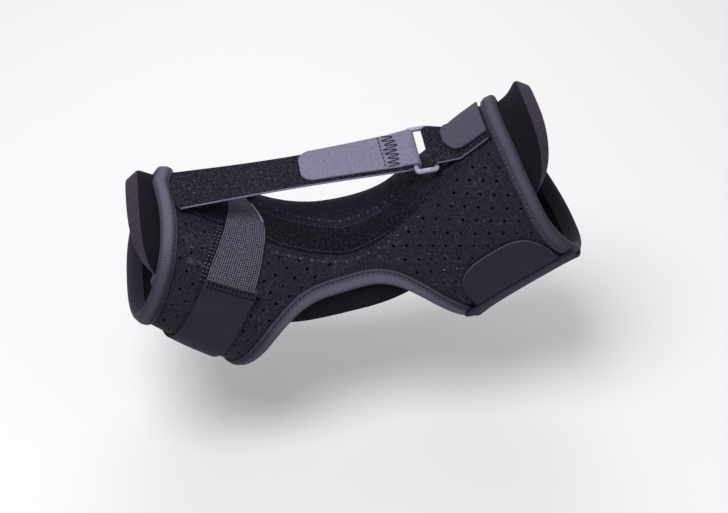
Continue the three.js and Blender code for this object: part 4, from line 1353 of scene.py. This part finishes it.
def heel_binding(steps=420):
    place, angle, place_step, angle_step, _ = heel_rim(steps)
    section = binding_section()
    spots = above(
        place[:, None] + place_step[:, None] * section[None, :, 0],
        angle[:, None] + angle_step[:, None] * section[None, :, 0],
        section[None, :, 1],
    )
    piece = sweep("heel_binding_tape", spots, HEEL_BINDING, line_lengths(spots[:, 0]))
    dress(piece, "slate_binding", "heel_binding")
    seam = above(place + place_step * STITCH_INSET, angle + angle_step * STITCH_INSET, SEAM_HEIGHT)
    threads = capsules("heel_binding_stitches", stitch_row(seam, closed=True), STITCH_RADIUS, DARK_THREAD)
    return piece, dress(threads, "slate_binding")


toe_tape, toe_stitches = rim_binding("toe_binding_tape", toe_rim, 1, "toe_binding", BINDING, DARK_THREAD)
leg_tape, leg_stitches = rim_binding("leg_binding_tape", leg_rim, -1, "leg_binding", LEG_BINDING, GREY_THREAD)
heel_tape, heel_stitches = heel_binding()

# %% [markdown]
# Over the instep runs a darker strip, the pocket of the hidden stay, sewn on along both edges. It
# has no holes and a denser pile. It is a plain sheet on the shared surface, a layer above the wrap,
# a little plump in the middle and pressed down along its edges, most of all towards the leg.

# %% The stay pocket
POCKET_PLUMP = 0.5
POCKET_PRESSED = 0.6


def pocket_spots(columns, rows):
    u, t = np.meshgrid(np.linspace(-0.5, 0.5, columns), np.linspace(0, 1, rows))
    across = degrees_of(POCKET_WIDTH) * u
    start = toe_rim(pocket_angle(toe_rim(0)) + across) + BINDING_WIDTH + LAYER_GAP
    end = leg_rim(pocket_angle(leg_rim(0)) + across) - BINDING_WIDTH - LAYER_GAP
    place = lerp(start, end, t)
    return place, pocket_angle(place) + across, u


def stay_pocket():
    place, angle, u = pocket_spots(15, 150)
    plump = POCKET_PLUMP * (1 - (2 * u) ** 4)
    pressed = POCKET_PRESSED * (2 * u) ** 6 + ease(place, 25, 75)
    spots = above(place, angle, ON_WRAP - 0.1 + plump - pressed)
    return sheet_piece("stay_pocket_cloth", spots, POCKET_CLOTH, VELVET, "velvet_loop", "stay_pocket")


pocket = stay_pocket()

# %% [markdown]
# Along each edge of the pocket run a row of short stitches and, just outside it, a small zigzag
# with a painted highlight here and there: a short paler thread over a peak. Drawn in the material
# they would end at the pocket's edge, so they are threads of their own, laid along lines that follow
# that edge.

# %% The pocket's seams
POCKET_STITCH_PITCH = 2.6
SEWN_TO = (52, 24)  # how far towards the leg the two kinds of stitches show
BAND_PLACE = -95  # middle of the elastic band, which covers their other end


def pocket_line(side, beyond, height, steps=300):
    """A line along one side of the pocket, beyond its edge by so many mm."""
    place = np.linspace(float(toe_rim(0)) + BINDING_WIDTH + 2, float(leg_rim(0)) - BINDING_WIDTH - 2, steps)
    angle = pocket_angle(place) + side * degrees_of(POCKET_WIDTH / 2 + beyond)
    return place, angle, above(place, angle, height)


def pocket_stitches():
    rows, gleams = [], []
    for side in (1, -1):
        place, _, line = pocket_line(side, -1.1, ON_POCKET - 0.25)
        rows.append(stitch_row(line[place < SEWN_TO[0]], length=2.1, pitch=POCKET_STITCH_PITCH))
        place, angle, _ = pocket_line(side, 4.6, ON_WRAP)
        swing = np.abs((np.arange(len(place)) * 0.55) % 2 - 1) * 2 - 1
        zigzag = above(place, angle + side * swing * degrees_of(1.3), ON_WRAP - 0.25)
        shown = (place > BAND_PLACE + 20) & (place < SEWN_TO[1])
        rows.append(stitch_row(zigzag[shown], length=1.6, pitch=2.3))
        # painted highlights: a paler chevron of thread over every twelfth peak of the zigzag
        for k in range(62, len(place) - 60, 12):
            low, high = angle[k] - degrees_of(0.9), angle[k] + degrees_of(0.9)
            peak = place[k] + np.array([-1.1, 0, 1.1])
            spots = above(peak, np.array([low, high, low]), ON_WRAP - 0.1)
            gleams += [spots[:2], spots[1:]]
    threads = capsules("stay_pocket_stitches", np.concatenate(rows), 0.2, STRIP_THREAD)
    dress(threads, "velvet_loop")
    shine = capsules("stay_pocket_gleams", np.array(gleams), 0.24, GREY_THREAD)
    return threads, dress(shine, "velvet_loop")


pocket_threads = pocket_stitches()

# %% [markdown]
# The elastic that gathers the forefoot is an open grid weave. A sheet with a pattern would look
# printed, so we lay real threads: flat ribs round the foot, crossed by finer ones, over a thin
# dark backing that closes the grid. First comes the band's own shape: it is drawn in towards the
# toes near the strap, and steps down from the pocket to the wrap.

# %% Where the elastic lies
BAND_WIDTH = 31
BAND_GATHER = 7.5
BAND_DRAWN = 12
BAND_ANGLE = 57
BAND_LAP = 6
STEP_DOWN = 6


def over_pocket(angle):
    apart = np.abs(angle - pocket_angle(BAND_PLACE))
    cleared = degrees_of(POCKET_WIDTH) * 0.7
    return lerp(ON_POCKET, ON_WRAP, ease(apart, cleared, cleared + degrees_of(STEP_DOWN)))


def band_place(side, angle):
    gathered = BAND_GATHER * (1 - ease(fold(angle), 0, BAND_ANGLE))
    drawn = BAND_DRAWN * (1 - clamp(fold(angle) / 21)) ** 2
    return BAND_PLACE + BAND_WIDTH * side / 2 + gathered * (1 - side) / 2 - drawn * (1 + side) / 2


def band_spot(side, angle, height):
    return above(band_place(side, angle), angle, over_pocket(angle) + height)


drawn_edge = [round(float(band_place(1, a)), 1) for a in (0, 10, 57)]
print("leg edge of the elastic at 0, 10 and 57 degrees:", drawn_edge)

# %% The elastic band
RIB_COUNT = 22
CROSS_PITCH = 1.5
THREAD_SECTION = [(-0.5, 0.2), (-0.28, 1.0), (0.28, 1.0), (0.5, 0.2), (0.28, -0.4), (-0.28, -0.4)]


def flat_threads(name, paths, raised, width, thickness, material):
    """Flat threads: each path is a line of points with its own sideways directions."""
    points, faces, start = [], [], 0
    for path, side in paths:
        normal = unit(np.cross(np.gradient(path, axis=0), side))
        corners = [path + side * a * width + normal * (b * thickness + raised) for a, b in THREAD_SECTION]
        block = np.stack(corners, 1)
        points.append(block.reshape(-1, 3))
        n = len(path)
        for i in range(n - 1):
            for k in range(6):
                m = (k + 1) % 6
                near, far = start + i * 6, start + (i + 1) * 6
                faces.append((near + k, near + m, far + m, far + k))
        faces.append(tuple(start + k for k in range(6)))
        faces.append(tuple(start + (n - 1) * 6 + k for k in range(5, -1, -1)))
        start += n * 6
    return link_mesh(name, np.concatenate(points), faces, material)


def elastic_band():
    end = BAND_ANGLE + degrees_of(BAND_LAP)
    angles = np.linspace(-end, end, 120)
    side, angle = np.meshgrid(np.linspace(-0.97, 0.97, 8), angles)
    backing = sheet_piece(
        "elastic_backing", band_spot(side, angle, 0.0), 0.35, LINING, "grid_elastic", "elastic_band",
        rim=0, turned=True,
    )
    paths = []
    for s in np.linspace(-1, 1, RIB_COUNT):
        path = band_spot(np.full(angles.shape, s), angles, 0.6)
        step = band_spot(np.full(angles.shape, s + 0.05), angles, 0.6) - path
        paths.append((path, unit(step)))
    ribs = flat_threads("elastic_ribs", paths, 0.0, 0.68, 0.42, ELASTIC)
    dress(ribs, "grid_elastic", "elastic_band")
    length = float(line_lengths(band_spot(np.zeros(120), angles, 0.6))[-2])
    sides = np.linspace(-1, 1, 16)
    paths = []
    for a in np.linspace(-end, end, int(length / CROSS_PITCH)):
        path = band_spot(sides, np.full(sides.shape, a), 0.72)
        step = band_spot(sides, np.full(sides.shape, a + 0.5), 0.72) - path
        paths.append((path, unit(step)))
    crossings = flat_threads("elastic_crossings", paths, 0.0, 0.56, 0.36, ELASTIC)
    dress(crossings, "grid_elastic", "elastic_band")
    # painted highlight: a short near-white thread along the band's leg edge near its top, where the elastic
    # gleams
    angles = np.linspace(3, 14, 40)
    path = band_spot(1.0, angles, 0.9)
    step = unit(band_spot(1.05, angles, 0.9) - path)
    edge = flat_threads("elastic_edge_painted_gleam", [(path, step)], 0.0, 0.9, 0.5, ELASTIC_GLEAM)
    dress(edge, "grid_elastic")
    return backing, ribs, crossings, edge


elastic = elastic_band()

# %% [markdown]
# Beside the elastic the wrap's edge is overlocked: two rows of pale stitches with dark gaps between
# them. Next to it the nap is rubbed up into loose pale hairs. Both are the stitches' capsules again,
# the hairs thinner and scattered at random, with the same seed each time.

# %% The forefoot's overlock and loose hairs


def loose_hairs(name, places, angles, count, radius, seed):
    """Pale hairs of nap, scattered on the wrap between two places and two angles."""
    turn = np.random.default_rng(seed)
    place, angle = turn.uniform(*places, count), turn.uniform(*angles, count)
    along, around = stretch(place, angle)
    lean = turn.normal(0, 0.7, count)
    length = turn.uniform(0.4, 1.3, count)
    far_place = place + np.cos(lean) * length / along
    far_angle = angle + np.sin(lean) * length / around
    near, far = above(place, angle, WRAP_CLOTH + 0.05), above(far_place, far_angle, WRAP_CLOTH + 0.15)
    return capsules(name, np.stack([near, far], 1), radius, OVERLOCK, sides=5)


def forefoot_stitches():
    angles = np.linspace(14, BAND_ANGLE + 3, 160)
    loops, gaps = [], []
    for beyond in (1.7, 4.1):
        line = above(band_place(-1, angles) - beyond, angles, ON_WRAP - 0.1)
        onwards = (line[40] - line[0]) / np.linalg.norm(line[40] - line[0])
        loops.append(stitch_row(line, length=1.3, pitch=2.6))
        gaps.append(stitch_row(line, length=1.2, pitch=2.6) + onwards * 1.3)
    pale = capsules("overlock_stitches", np.concatenate(loops), 0.42, OVERLOCK)
    dark = capsules("overlock_gaps", np.concatenate(gaps), 0.45, BLACK_THREAD)
    seam = loose_hairs("forefoot_seam", (-126, -112), (47.5, 51), 110, 0.1, 11)
    wisps = loose_hairs("forefoot_wisps", (-128, -112), (28, 42), 130, 0.1, 12)
    return [dress(piece, "black_loop_cloth") for piece in (pale, dark, seam, wisps)]


forefoot_threads = forefoot_stitches()

# %% [markdown]
# From the elastic a smooth knitted strap goes on round the sole. It laps over the elastic's end,
# where two rows of dark stitches hold it and its cut edge frays a little. The strap could end in a
# straight line, but a thin pale wavy thread along the end shows that it is cut cloth.

# %% The sole strap
SOLE_STRAP_WIDTH = 34


def sole_spot(side, angle, height):
    lap_end = BAND_ANGLE + degrees_of(BAND_LAP)
    down = ease(fold(angle), lap_end + 0.5, lap_end + degrees_of(STEP_DOWN))
    low = lerp(ON_WRAP + BAND_CLOTH + LAYER_GAP, ON_WRAP, down)
    return above(BAND_PLACE + SOLE_STRAP_WIDTH * side / 2, angle, low + height)


def sole_strap():
    side, angle = np.meshgrid(np.linspace(-1, 1, 13), np.linspace(BAND_ANGLE, 360 - BAND_ANGLE, 190))
    strap = sheet_piece(
        "sole_strap_knit", sole_spot(side, angle, 0.0), STRAP_CLOTH, KNIT, "smooth_knit", "sole_strap",
        turned=True,
    )
    ends = []
    for edge in (1, -1):
        for row in (2.2, 4.6):
            sides = np.linspace(-0.95, 0.95, 40)
            turn = edge * (BAND_ANGLE + degrees_of(row))
            line = sole_spot(sides, np.full(sides.shape, turn % 360), STRAP_CLOTH + 0.1)
            ends.append(stitch_row(line, length=1.5, pitch=2.7))
    threads = capsules("sole_strap_stitches", np.concatenate(ends), 0.75, BLACK_THREAD)
    dress(threads, "smooth_knit")
    edges = []
    for edge in (1, -1):
        sides = np.linspace(-0.98, 0.98, 60)
        wavy = edge * (BAND_ANGLE + 0.3) + 0.25 * np.sin(40 * sides)
        path = sole_spot(sides, wavy % 360, STRAP_CLOTH * 0.8)
        step = unit(sole_spot(sides, (edge * (BAND_ANGLE - 1)) % 360, STRAP_CLOTH * 0.8) - path)
        edges.append((path, step))
    frayed = flat_threads("sole_strap_edges", edges, 0.0, 0.7, 0.4, OVERLOCK)
    dress(frayed, "smooth_knit")
    return strap, threads, frayed


under_foot = sole_strap()

# %% [markdown]
# The tension strap spans freely from the toe end to the ring. Its lower edge shows a pale woven
# selvedge. It is a twisted ribbon, so we work it out from its two ends: each has a centre and a
# sideways direction, and the ribbon turns from one to the other. A cloth simulation would hang it
# too low, since the real strap is pulled tight.

# %% Where the straps and the ring lie
STRAP_WIDTH = 31
RING_BAR = 2.9
RING_SLOT = 10
RING_SLACK = 1.2
RING_THICKNESS = 2.6
RING_PLACE = 105.3
RING_HEIGHT = 15
RING_TILT = 15
STRAP_START_ANGLE = 3
STRAP_START_TILT = 12
STRAP_SAG = 0.8
STRAP_FLATTENS = 9
MEETS_SHIN = 124  # place where the leg strap comes down on the leg


def strap_angle(side):
    return STRAP_START_ANGLE - np.degrees(side * STRAP_WIDTH / 2 / HOLLOW_RADIUS)


START_TILT = math.radians(STRAP_START_TILT)
START_SIDE = np.array([0, math.cos(START_TILT), math.sin(START_TILT)])
STRAP_START = above(
    toe_rim(strap_angle(-1)) + BINDING_WIDTH + LAYER_GAP,
    strap_angle(-1),
    ON_POCKET + STRAP_CLOTH / 2 + LAYER_GAP,
) + START_SIDE * STRAP_WIDTH / 2
RING_CENTRE = above(RING_PLACE, 0, RING_HEIGHT)
RING_SHORT = unit(RING_CENTRE - STRAP_START)
RING_SIDE = np.array([0, math.cos(math.radians(RING_TILT)), math.sin(math.radians(RING_TILT))])
RING_NORMAL = unit(np.cross(RING_SHORT, RING_SIDE))
RING_LONG = np.cross(RING_NORMAL, RING_SHORT)
RING_LENGTH = STRAP_WIDTH + RING_SLACK + 2 * RING_BAR
RING_WIDTH = RING_SLOT + 2 * RING_BAR
BAR_PLACE = (RING_SLOT + RING_BAR) / 2
BAR_RADIUS = math.hypot(RING_BAR, RING_THICKNESS) / 2 + LAYER_GAP
LEG_STRAP_TOP = float(leg_rim(0)) - RING_PLACE - BAR_PLACE - BINDING_WIDTH
STRAP_END = RING_CENTRE - RING_SHORT * BAR_PLACE
STRAP_LENGTH = float(np.linalg.norm(STRAP_END - STRAP_START))


def at_ring(short, long, normal):
    """Points by their distances from the ring's centre, along its three directions."""
    short, long, normal = (np.asarray(v, float)[..., None] for v in (short, long, normal))
    return RING_CENTRE + RING_SHORT * short + RING_LONG * long + RING_NORMAL * normal


def on_strap(along, side, height):
    """Points of the ribbon: mm back from the ring's bar, side from -1 to 1, height above its middle."""
    along, side, height = (np.asarray(v, float) for v in np.broadcast_arrays(along, side, height))
    share = 1 - along / STRAP_LENGTH
    held = clamp(share)[..., None]
    belly = np.sin(math.pi * clamp(share))
    across = unit(START_SIDE * (1 - held**2) + RING_LONG * held**2)
    turn = -np.radians(STRAP_FLATTENS) * belly[..., None]
    across = across * np.cos(turn) + np.cross(RING_SHORT, across) * np.sin(turn)
    normal = unit(np.cross(RING_SHORT, across))
    middle = STRAP_END - RING_SHORT * along[..., None]
    sideways = across * (side * STRAP_WIDTH / 2)[..., None]
    return middle + sideways + normal * (height - STRAP_SAG * belly)[..., None]


def on_leg_strap(share, side, height):
    """Points of the short strap: share 0 at the ring's far bar, 1 at the leg binding."""
    share, side, height = (np.asarray(v, float) for v in np.broadcast_arrays(share, side, height))
    angle = -np.degrees(side * STRAP_WIDTH / 2 / HOLLOW_RADIUS)
    touches = 0.42  # share of its length that hangs free
    end = leg_rim(angle) - BINDING_WIDTH - LAYER_GAP
    place = lerp(MEETS_SHIN, end, clamp((share - touches) / (1 - touches)))
    on_shin = above(place, angle, ON_POCKET + height)
    free = clamp(share / touches)[..., None]
    return at_ring(BAR_PLACE, side * STRAP_WIDTH / 2, BAR_RADIUS + height) * (1 - free) + on_shin * free


print("free length of the tension strap, mm:", round(STRAP_LENGTH, 1))

# %% The tension strap


def tension_strap():
    before_bar = BAR_RADIUS + TAB_CLOTH + STRAP_CLOTH
    side, t = np.meshgrid(np.linspace(-1, 1, 15), np.linspace(0, 1, 130))
    reach = toe_rim(strap_angle(-1)) - toe_rim(strap_angle(side))
    along = lerp(STRAP_LENGTH + reach - LAYER_GAP, before_bar, t)
    strap = sheet_piece(
        "tension_strap_loop", on_strap(along, side, -STRAP_CLOTH / 2), STRAP_CLOTH, STRAP,
        "fuzzy_loop_strap", "tension_strap", rim=0.5, turned=True,
    )
    along = np.linspace(STRAP_LENGTH - 2, before_bar, 130)
    path = on_strap(along, -1.0, 0.0)
    step = unit(on_strap(along, -1.03, 0.0) - path)
    selvedge = flat_threads("tension_strap_selvedge", [(path, step)], -0.35, 0.7, 0.8, SELVEDGE)
    dress(selvedge, "fuzzy_loop_strap")
    return strap, selvedge


pull_strap = tension_strap()

# %% [markdown]
# The strap's end is a smooth hook tab that runs round the ring's bar and sticks back down on the
# strap. One grid carries it through three stretches: the long part on top, half a turn round the
# bar, and a short part underneath. Bending a flat mesh with a modifier would be quick, but this
# way the tab lies exactly on the strap and on the bar.

# %% The tab folded back
FOLD_LENGTH = 73
FOLD_UNDER = 22
TAB_CORNER = 9
TAB_INSET = 2.5
TAB_SETTLES = 14  # mm from the bar to where the tab lies flat


def tab_height(along):
    beside = STRAP_CLOTH / 2 + LAYER_GAP
    return lerp(BAR_RADIUS, beside, ease(along, 0, TAB_SETTLES))


def tab_stitches():
    """The sewn end under the tab shows as a dashed line and a wide zigzag of dark blue thread."""
    outside = TAB_CLOTH + 0.12
    sides = np.linspace(-0.8, 0.95, 200)
    dashes = on_strap(19.5 + 0.5 * sides, sides, tab_height(19.5) + outside)
    swing = (sides + 0.8) / 1.75 * 7
    reach = 2 * np.abs(swing % 1 - 0.5)
    wander = 0.7 * np.sin(swing * 2.3) + 0.4 * np.sin(swing * 5.1)
    along = 8.6 + 9.4 * ease(reach, 0.05, 0.95) + wander
    zigzag = on_strap(along, sides, tab_height(along) + outside)
    ends = np.concatenate([
        stitch_row(dashes, length=2.5, pitch=3.1),
        stitch_row(zigzag, length=3.1, pitch=2.6),
    ])
    return dress(capsules("strap_tab_stitches", ends, 0.42, NAVY_THREAD), "grey_hook_tab")


def strap_tab():
    arc = math.pi * BAR_RADIUS
    total = FOLD_LENGTH + arc + FOLD_UNDER
    rows = np.concatenate([np.linspace(0, TAB_CORNER, 14)[:-1], np.linspace(TAB_CORNER, total, 140)])
    side, s = np.meshgrid(np.linspace(-1, 1, 17), rows)
    corner = clamp(s / TAB_CORNER)
    centre = TAB_INSET / STRAP_WIDTH
    side = centre + side * lerp(0.45, 1, np.sqrt(1 - (1 - corner) ** 2)) * (1 - centre)
    outward = on_strap(FOLD_LENGTH - s, side, tab_height(FOLD_LENGTH - s))
    turn = clamp((s - FOLD_LENGTH) / BAR_RADIUS, 0, math.pi)
    round_bar = on_strap(0.0, side, BAR_RADIUS * np.cos(turn))
    round_bar = round_bar + RING_SHORT * (BAR_RADIUS * np.sin(turn))[..., None]
    back = s - FOLD_LENGTH - arc
    under = on_strap(back, side, -tab_height(back))
    spots = np.where((s < FOLD_LENGTH)[..., None], outward, np.where((back < 0)[..., None], round_bar, under))
    tab = sheet_piece(
        "strap_tab_cloth", spots, TAB_CLOTH, TAB, "grey_hook_tab", "strap_tab",
        rim=0.4, turned=True,
    )
    return tab, tab_stitches()


tab = strap_tab()

# %% [markdown]
# From the ring's other bar a short strap goes down to the leg end, and a darker tab lies on it and
# runs under the leg binding. The strap is folded round its bar like the tab; the dark tab has a
# round tip and lifts a little off the strap there.

# %% The leg strap and its tab
LEG_FOLD = 7
LEG_TAB_WIDTH = 31
LEG_TAB_OFFSET = 4
LEG_TAB_LENGTH = 28.5
TIP_LIFT = 3.6


def leg_strap():
    arc = math.pi * BAR_RADIUS
    total = LEG_FOLD + arc + LEG_STRAP_TOP
    side, s = np.meshgrid(np.linspace(-1, 1, 15), np.linspace(0, total, 110))
    from_bar = LEG_FOLD - s
    under = lerp(2 * BAR_RADIUS, LAYER_GAP, ease(from_bar, 0, LEG_FOLD))
    folded = on_leg_strap(clamp(from_bar / LEG_STRAP_TOP), side, -under)
    turn = clamp((s - LEG_FOLD) / BAR_RADIUS, 0, math.pi)
    short, normal = BAR_PLACE - BAR_RADIUS * np.sin(turn), -BAR_RADIUS * np.cos(turn)
    round_bar = at_ring(short, side * STRAP_WIDTH / 2, normal)
    top = on_leg_strap(clamp((s - LEG_FOLD - arc) / LEG_STRAP_TOP), side, 0.0)
    after_fold = np.where((s < LEG_FOLD + arc)[..., None], round_bar, top)
    spots = np.where((s < LEG_FOLD)[..., None], folded, after_fold)
    strap = sheet_piece(
        "leg_strap_loop", spots, STRAP_CLOTH, STRAP, "fuzzy_loop_strap", "leg_strap",
        rim=0.5, turned=True,
    )
    share = np.linspace(0, 0.97, 60)
    path = on_leg_strap(share, -1.0, STRAP_CLOTH / 2)
    step = unit(on_leg_strap(share, -1.03, STRAP_CLOTH / 2) - path)
    selvedge = flat_threads("leg_strap_selvedge", [(path, step)], -0.35, 0.6, 0.7, SELVEDGE)
    dress(selvedge, "fuzzy_loop_strap")
    return strap, selvedge


def leg_tab():
    side, t = np.meshgrid(np.linspace(-1, 1, 21), np.linspace(0, 1, 60) ** 1.4)
    corner = clamp(t * LEG_TAB_LENGTH / (LEG_TAB_WIDTH / 2))
    width = lerp(0.12, 1, np.sqrt(1 - (1 - corner) ** 2))
    across = side * width * LEG_TAB_WIDTH / STRAP_WIDTH + 2 * LEG_TAB_OFFSET / STRAP_WIDTH
    share = lerp(1 - LEG_TAB_LENGTH / LEG_STRAP_TOP, 1, t)
    lift = STRAP_CLOTH + LAYER_GAP * lerp(TIP_LIFT, 1, t)
    spots = on_leg_strap(share, across, lift)
    return sheet_piece(
        "leg_tab_cloth", spots, TAB_CLOTH, SHIN_TAB, "grey_hook_tab", "leg_tab",
        rim=0.4, turned=True,
    )


shin_strap = leg_strap()
shin_tab = leg_tab()

# %% [markdown]
# The ring is moulded in one, with a bar that is flat but soft at its edges. A section that is
# nearly a rounded square is carried round two rounded rectangles, the ring's outside and its slot.

# %% The ring
RING_SOFTNESS = 0.55  # 1 would be an oval section, 0 a square one


def rounded_rectangle(width, length, radius, steps=6):
    x, y = width / 2 - radius, length / 2 - radius
    points = []
    for k, (cx, cy) in enumerate([(x, y), (-x, y), (-x, -y), (x, -y)]):
        turn = math.pi / 2 * k + np.linspace(0, math.pi / 2, steps)
        points.append(np.stack([cx + radius * np.cos(turn), cy + radius * np.sin(turn)], 1))
    return np.concatenate(points)


def ring_buckle():
    """The ring: a bar of softly rounded section carried round a rounded rectangle."""
    outer = rounded_rectangle(RING_WIDTH, RING_LENGTH, RING_BAR)
    inner = rounded_rectangle(RING_SLOT, RING_LENGTH - 2 * RING_BAR, 1.0)
    turn = 2 * math.pi * np.arange(16) / 16
    across = 0.5 + 0.5 * np.sign(np.cos(turn)) * np.abs(np.cos(turn)) ** RING_SOFTNESS
    rise = np.sign(np.sin(turn)) * np.abs(np.sin(turn)) ** RING_SOFTNESS * RING_THICKNESS / 2
    flat = inner[:, None] + (outer - inner)[:, None] * across[None, :, None]
    spots = at_ring(flat[..., 0], flat[..., 1], np.broadcast_to(rise, flat.shape[:2]))
    piece = sweep("ring_plastic", spots, PLASTIC, line_lengths(spots[:, 0]))
    return dress(piece, "grey_plastic", "ring_buckle")


ring = ring_buckle()

# %% [markdown]
# Behind the calf the leg part closes with a wide wing. Its near end is folded forward into a half
# round flap with a thin pale edge. Both are sheets on the shared surface again; the flap's grid
# runs from the crease out to a rounded edge, so its columns meet the edge squarely.

# %% The calf flap
FLAP_LENGTH = 62
FLAP_REACH = 34  # degrees round the leg
FLAP_CUT = (34, 62)  # mm from the crease to the tip along the cloth, and along the crease
CREASE_ANGLE = 117


def flap_spot(place_share, turn_share):
    """turn_share runs round the half round edge from 0 to 1, place_share from the crease out."""
    middle = (HEEL_PLACE + HEEL_LENGTH / 2 + float(leg_rim(180))) / 2
    back = CREASE_ANGLE - degrees_of(2 * LAYER_GAP)
    turn = lerp(-math.pi / 2, math.pi / 2, turn_share)
    place = middle + np.sign(np.sin(turn)) * np.abs(np.sin(turn)) ** 0.62 * FLAP_LENGTH / 2
    front = back - np.maximum(np.maximum(np.cos(turn), 0) ** 0.62, 0.04) * FLAP_REACH
    angle = lerp(back, front, place_share)
    rise = ease(angle, CREASE_ANGLE - FLAP_REACH / 2, CREASE_ANGLE)
    return place, angle, lerp(ON_WRAP, ON_BINDING, rise)


def calf_flap():
    u, t = np.meshgrid(np.linspace(0, 1, 22), np.linspace(0, 1, 90))
    place, angle, low = flap_spot(u, t)
    flap = sheet_piece(
        "calf_flap_knit", above(place, angle, low), TAB_CLOTH, KNIT, "smooth_knit", "calf_flap",
        turned=True, cut=FLAP_CUT,
    )
    t = np.linspace(0.02, 0.98, 140)
    place, angle, low = flap_spot(1.0, t)
    path = above(place, angle, low + TAB_CLOTH * 0.75)
    step = unit(path - above(*flap_spot(0.9, t)))
    edge = flat_threads("calf_flap_edge", [(path, step)], 0.0, 0.5, 0.3, FLAP_EDGE)
    dress(edge, "smooth_knit")
    return flap, edge


flap = calf_flap()

# %% [markdown]
# The wing goes on from the crease round the back of the calf, thicker than the flap and with soft
# lumps along both edges, where its seam allowance is turned in.

# %% The calf wing
WING_TURN = 130
WING_LUMP = 1.6
WING_INSET = 3


def calf_wing():
    start = HEEL_PLACE + HEEL_LENGTH / 2 + LAYER_GAP
    end = float(leg_rim(180)) - LAYER_GAP
    u, t = np.meshgrid(np.linspace(0, 1, 90), np.linspace(0, 1, 60))
    angle = lerp(CREASE_ANGLE, CREASE_ANGLE + WING_TURN, u)
    lump = WING_LUMP * np.abs(2 * t - 1) ** 6
    inset = WING_INSET * ease(angle, CREASE_ANGLE, CREASE_ANGLE + degrees_of(BINDING_WIDTH))
    spots = above(lerp(start + inset, end - inset, t), angle, ON_BINDING + lump / 2)
    return sheet_piece("calf_wing_knit", spots, WING_CLOTH, KNIT, "smooth_knit", "calf_wing", rim=0.8)


wing = calf_wing()
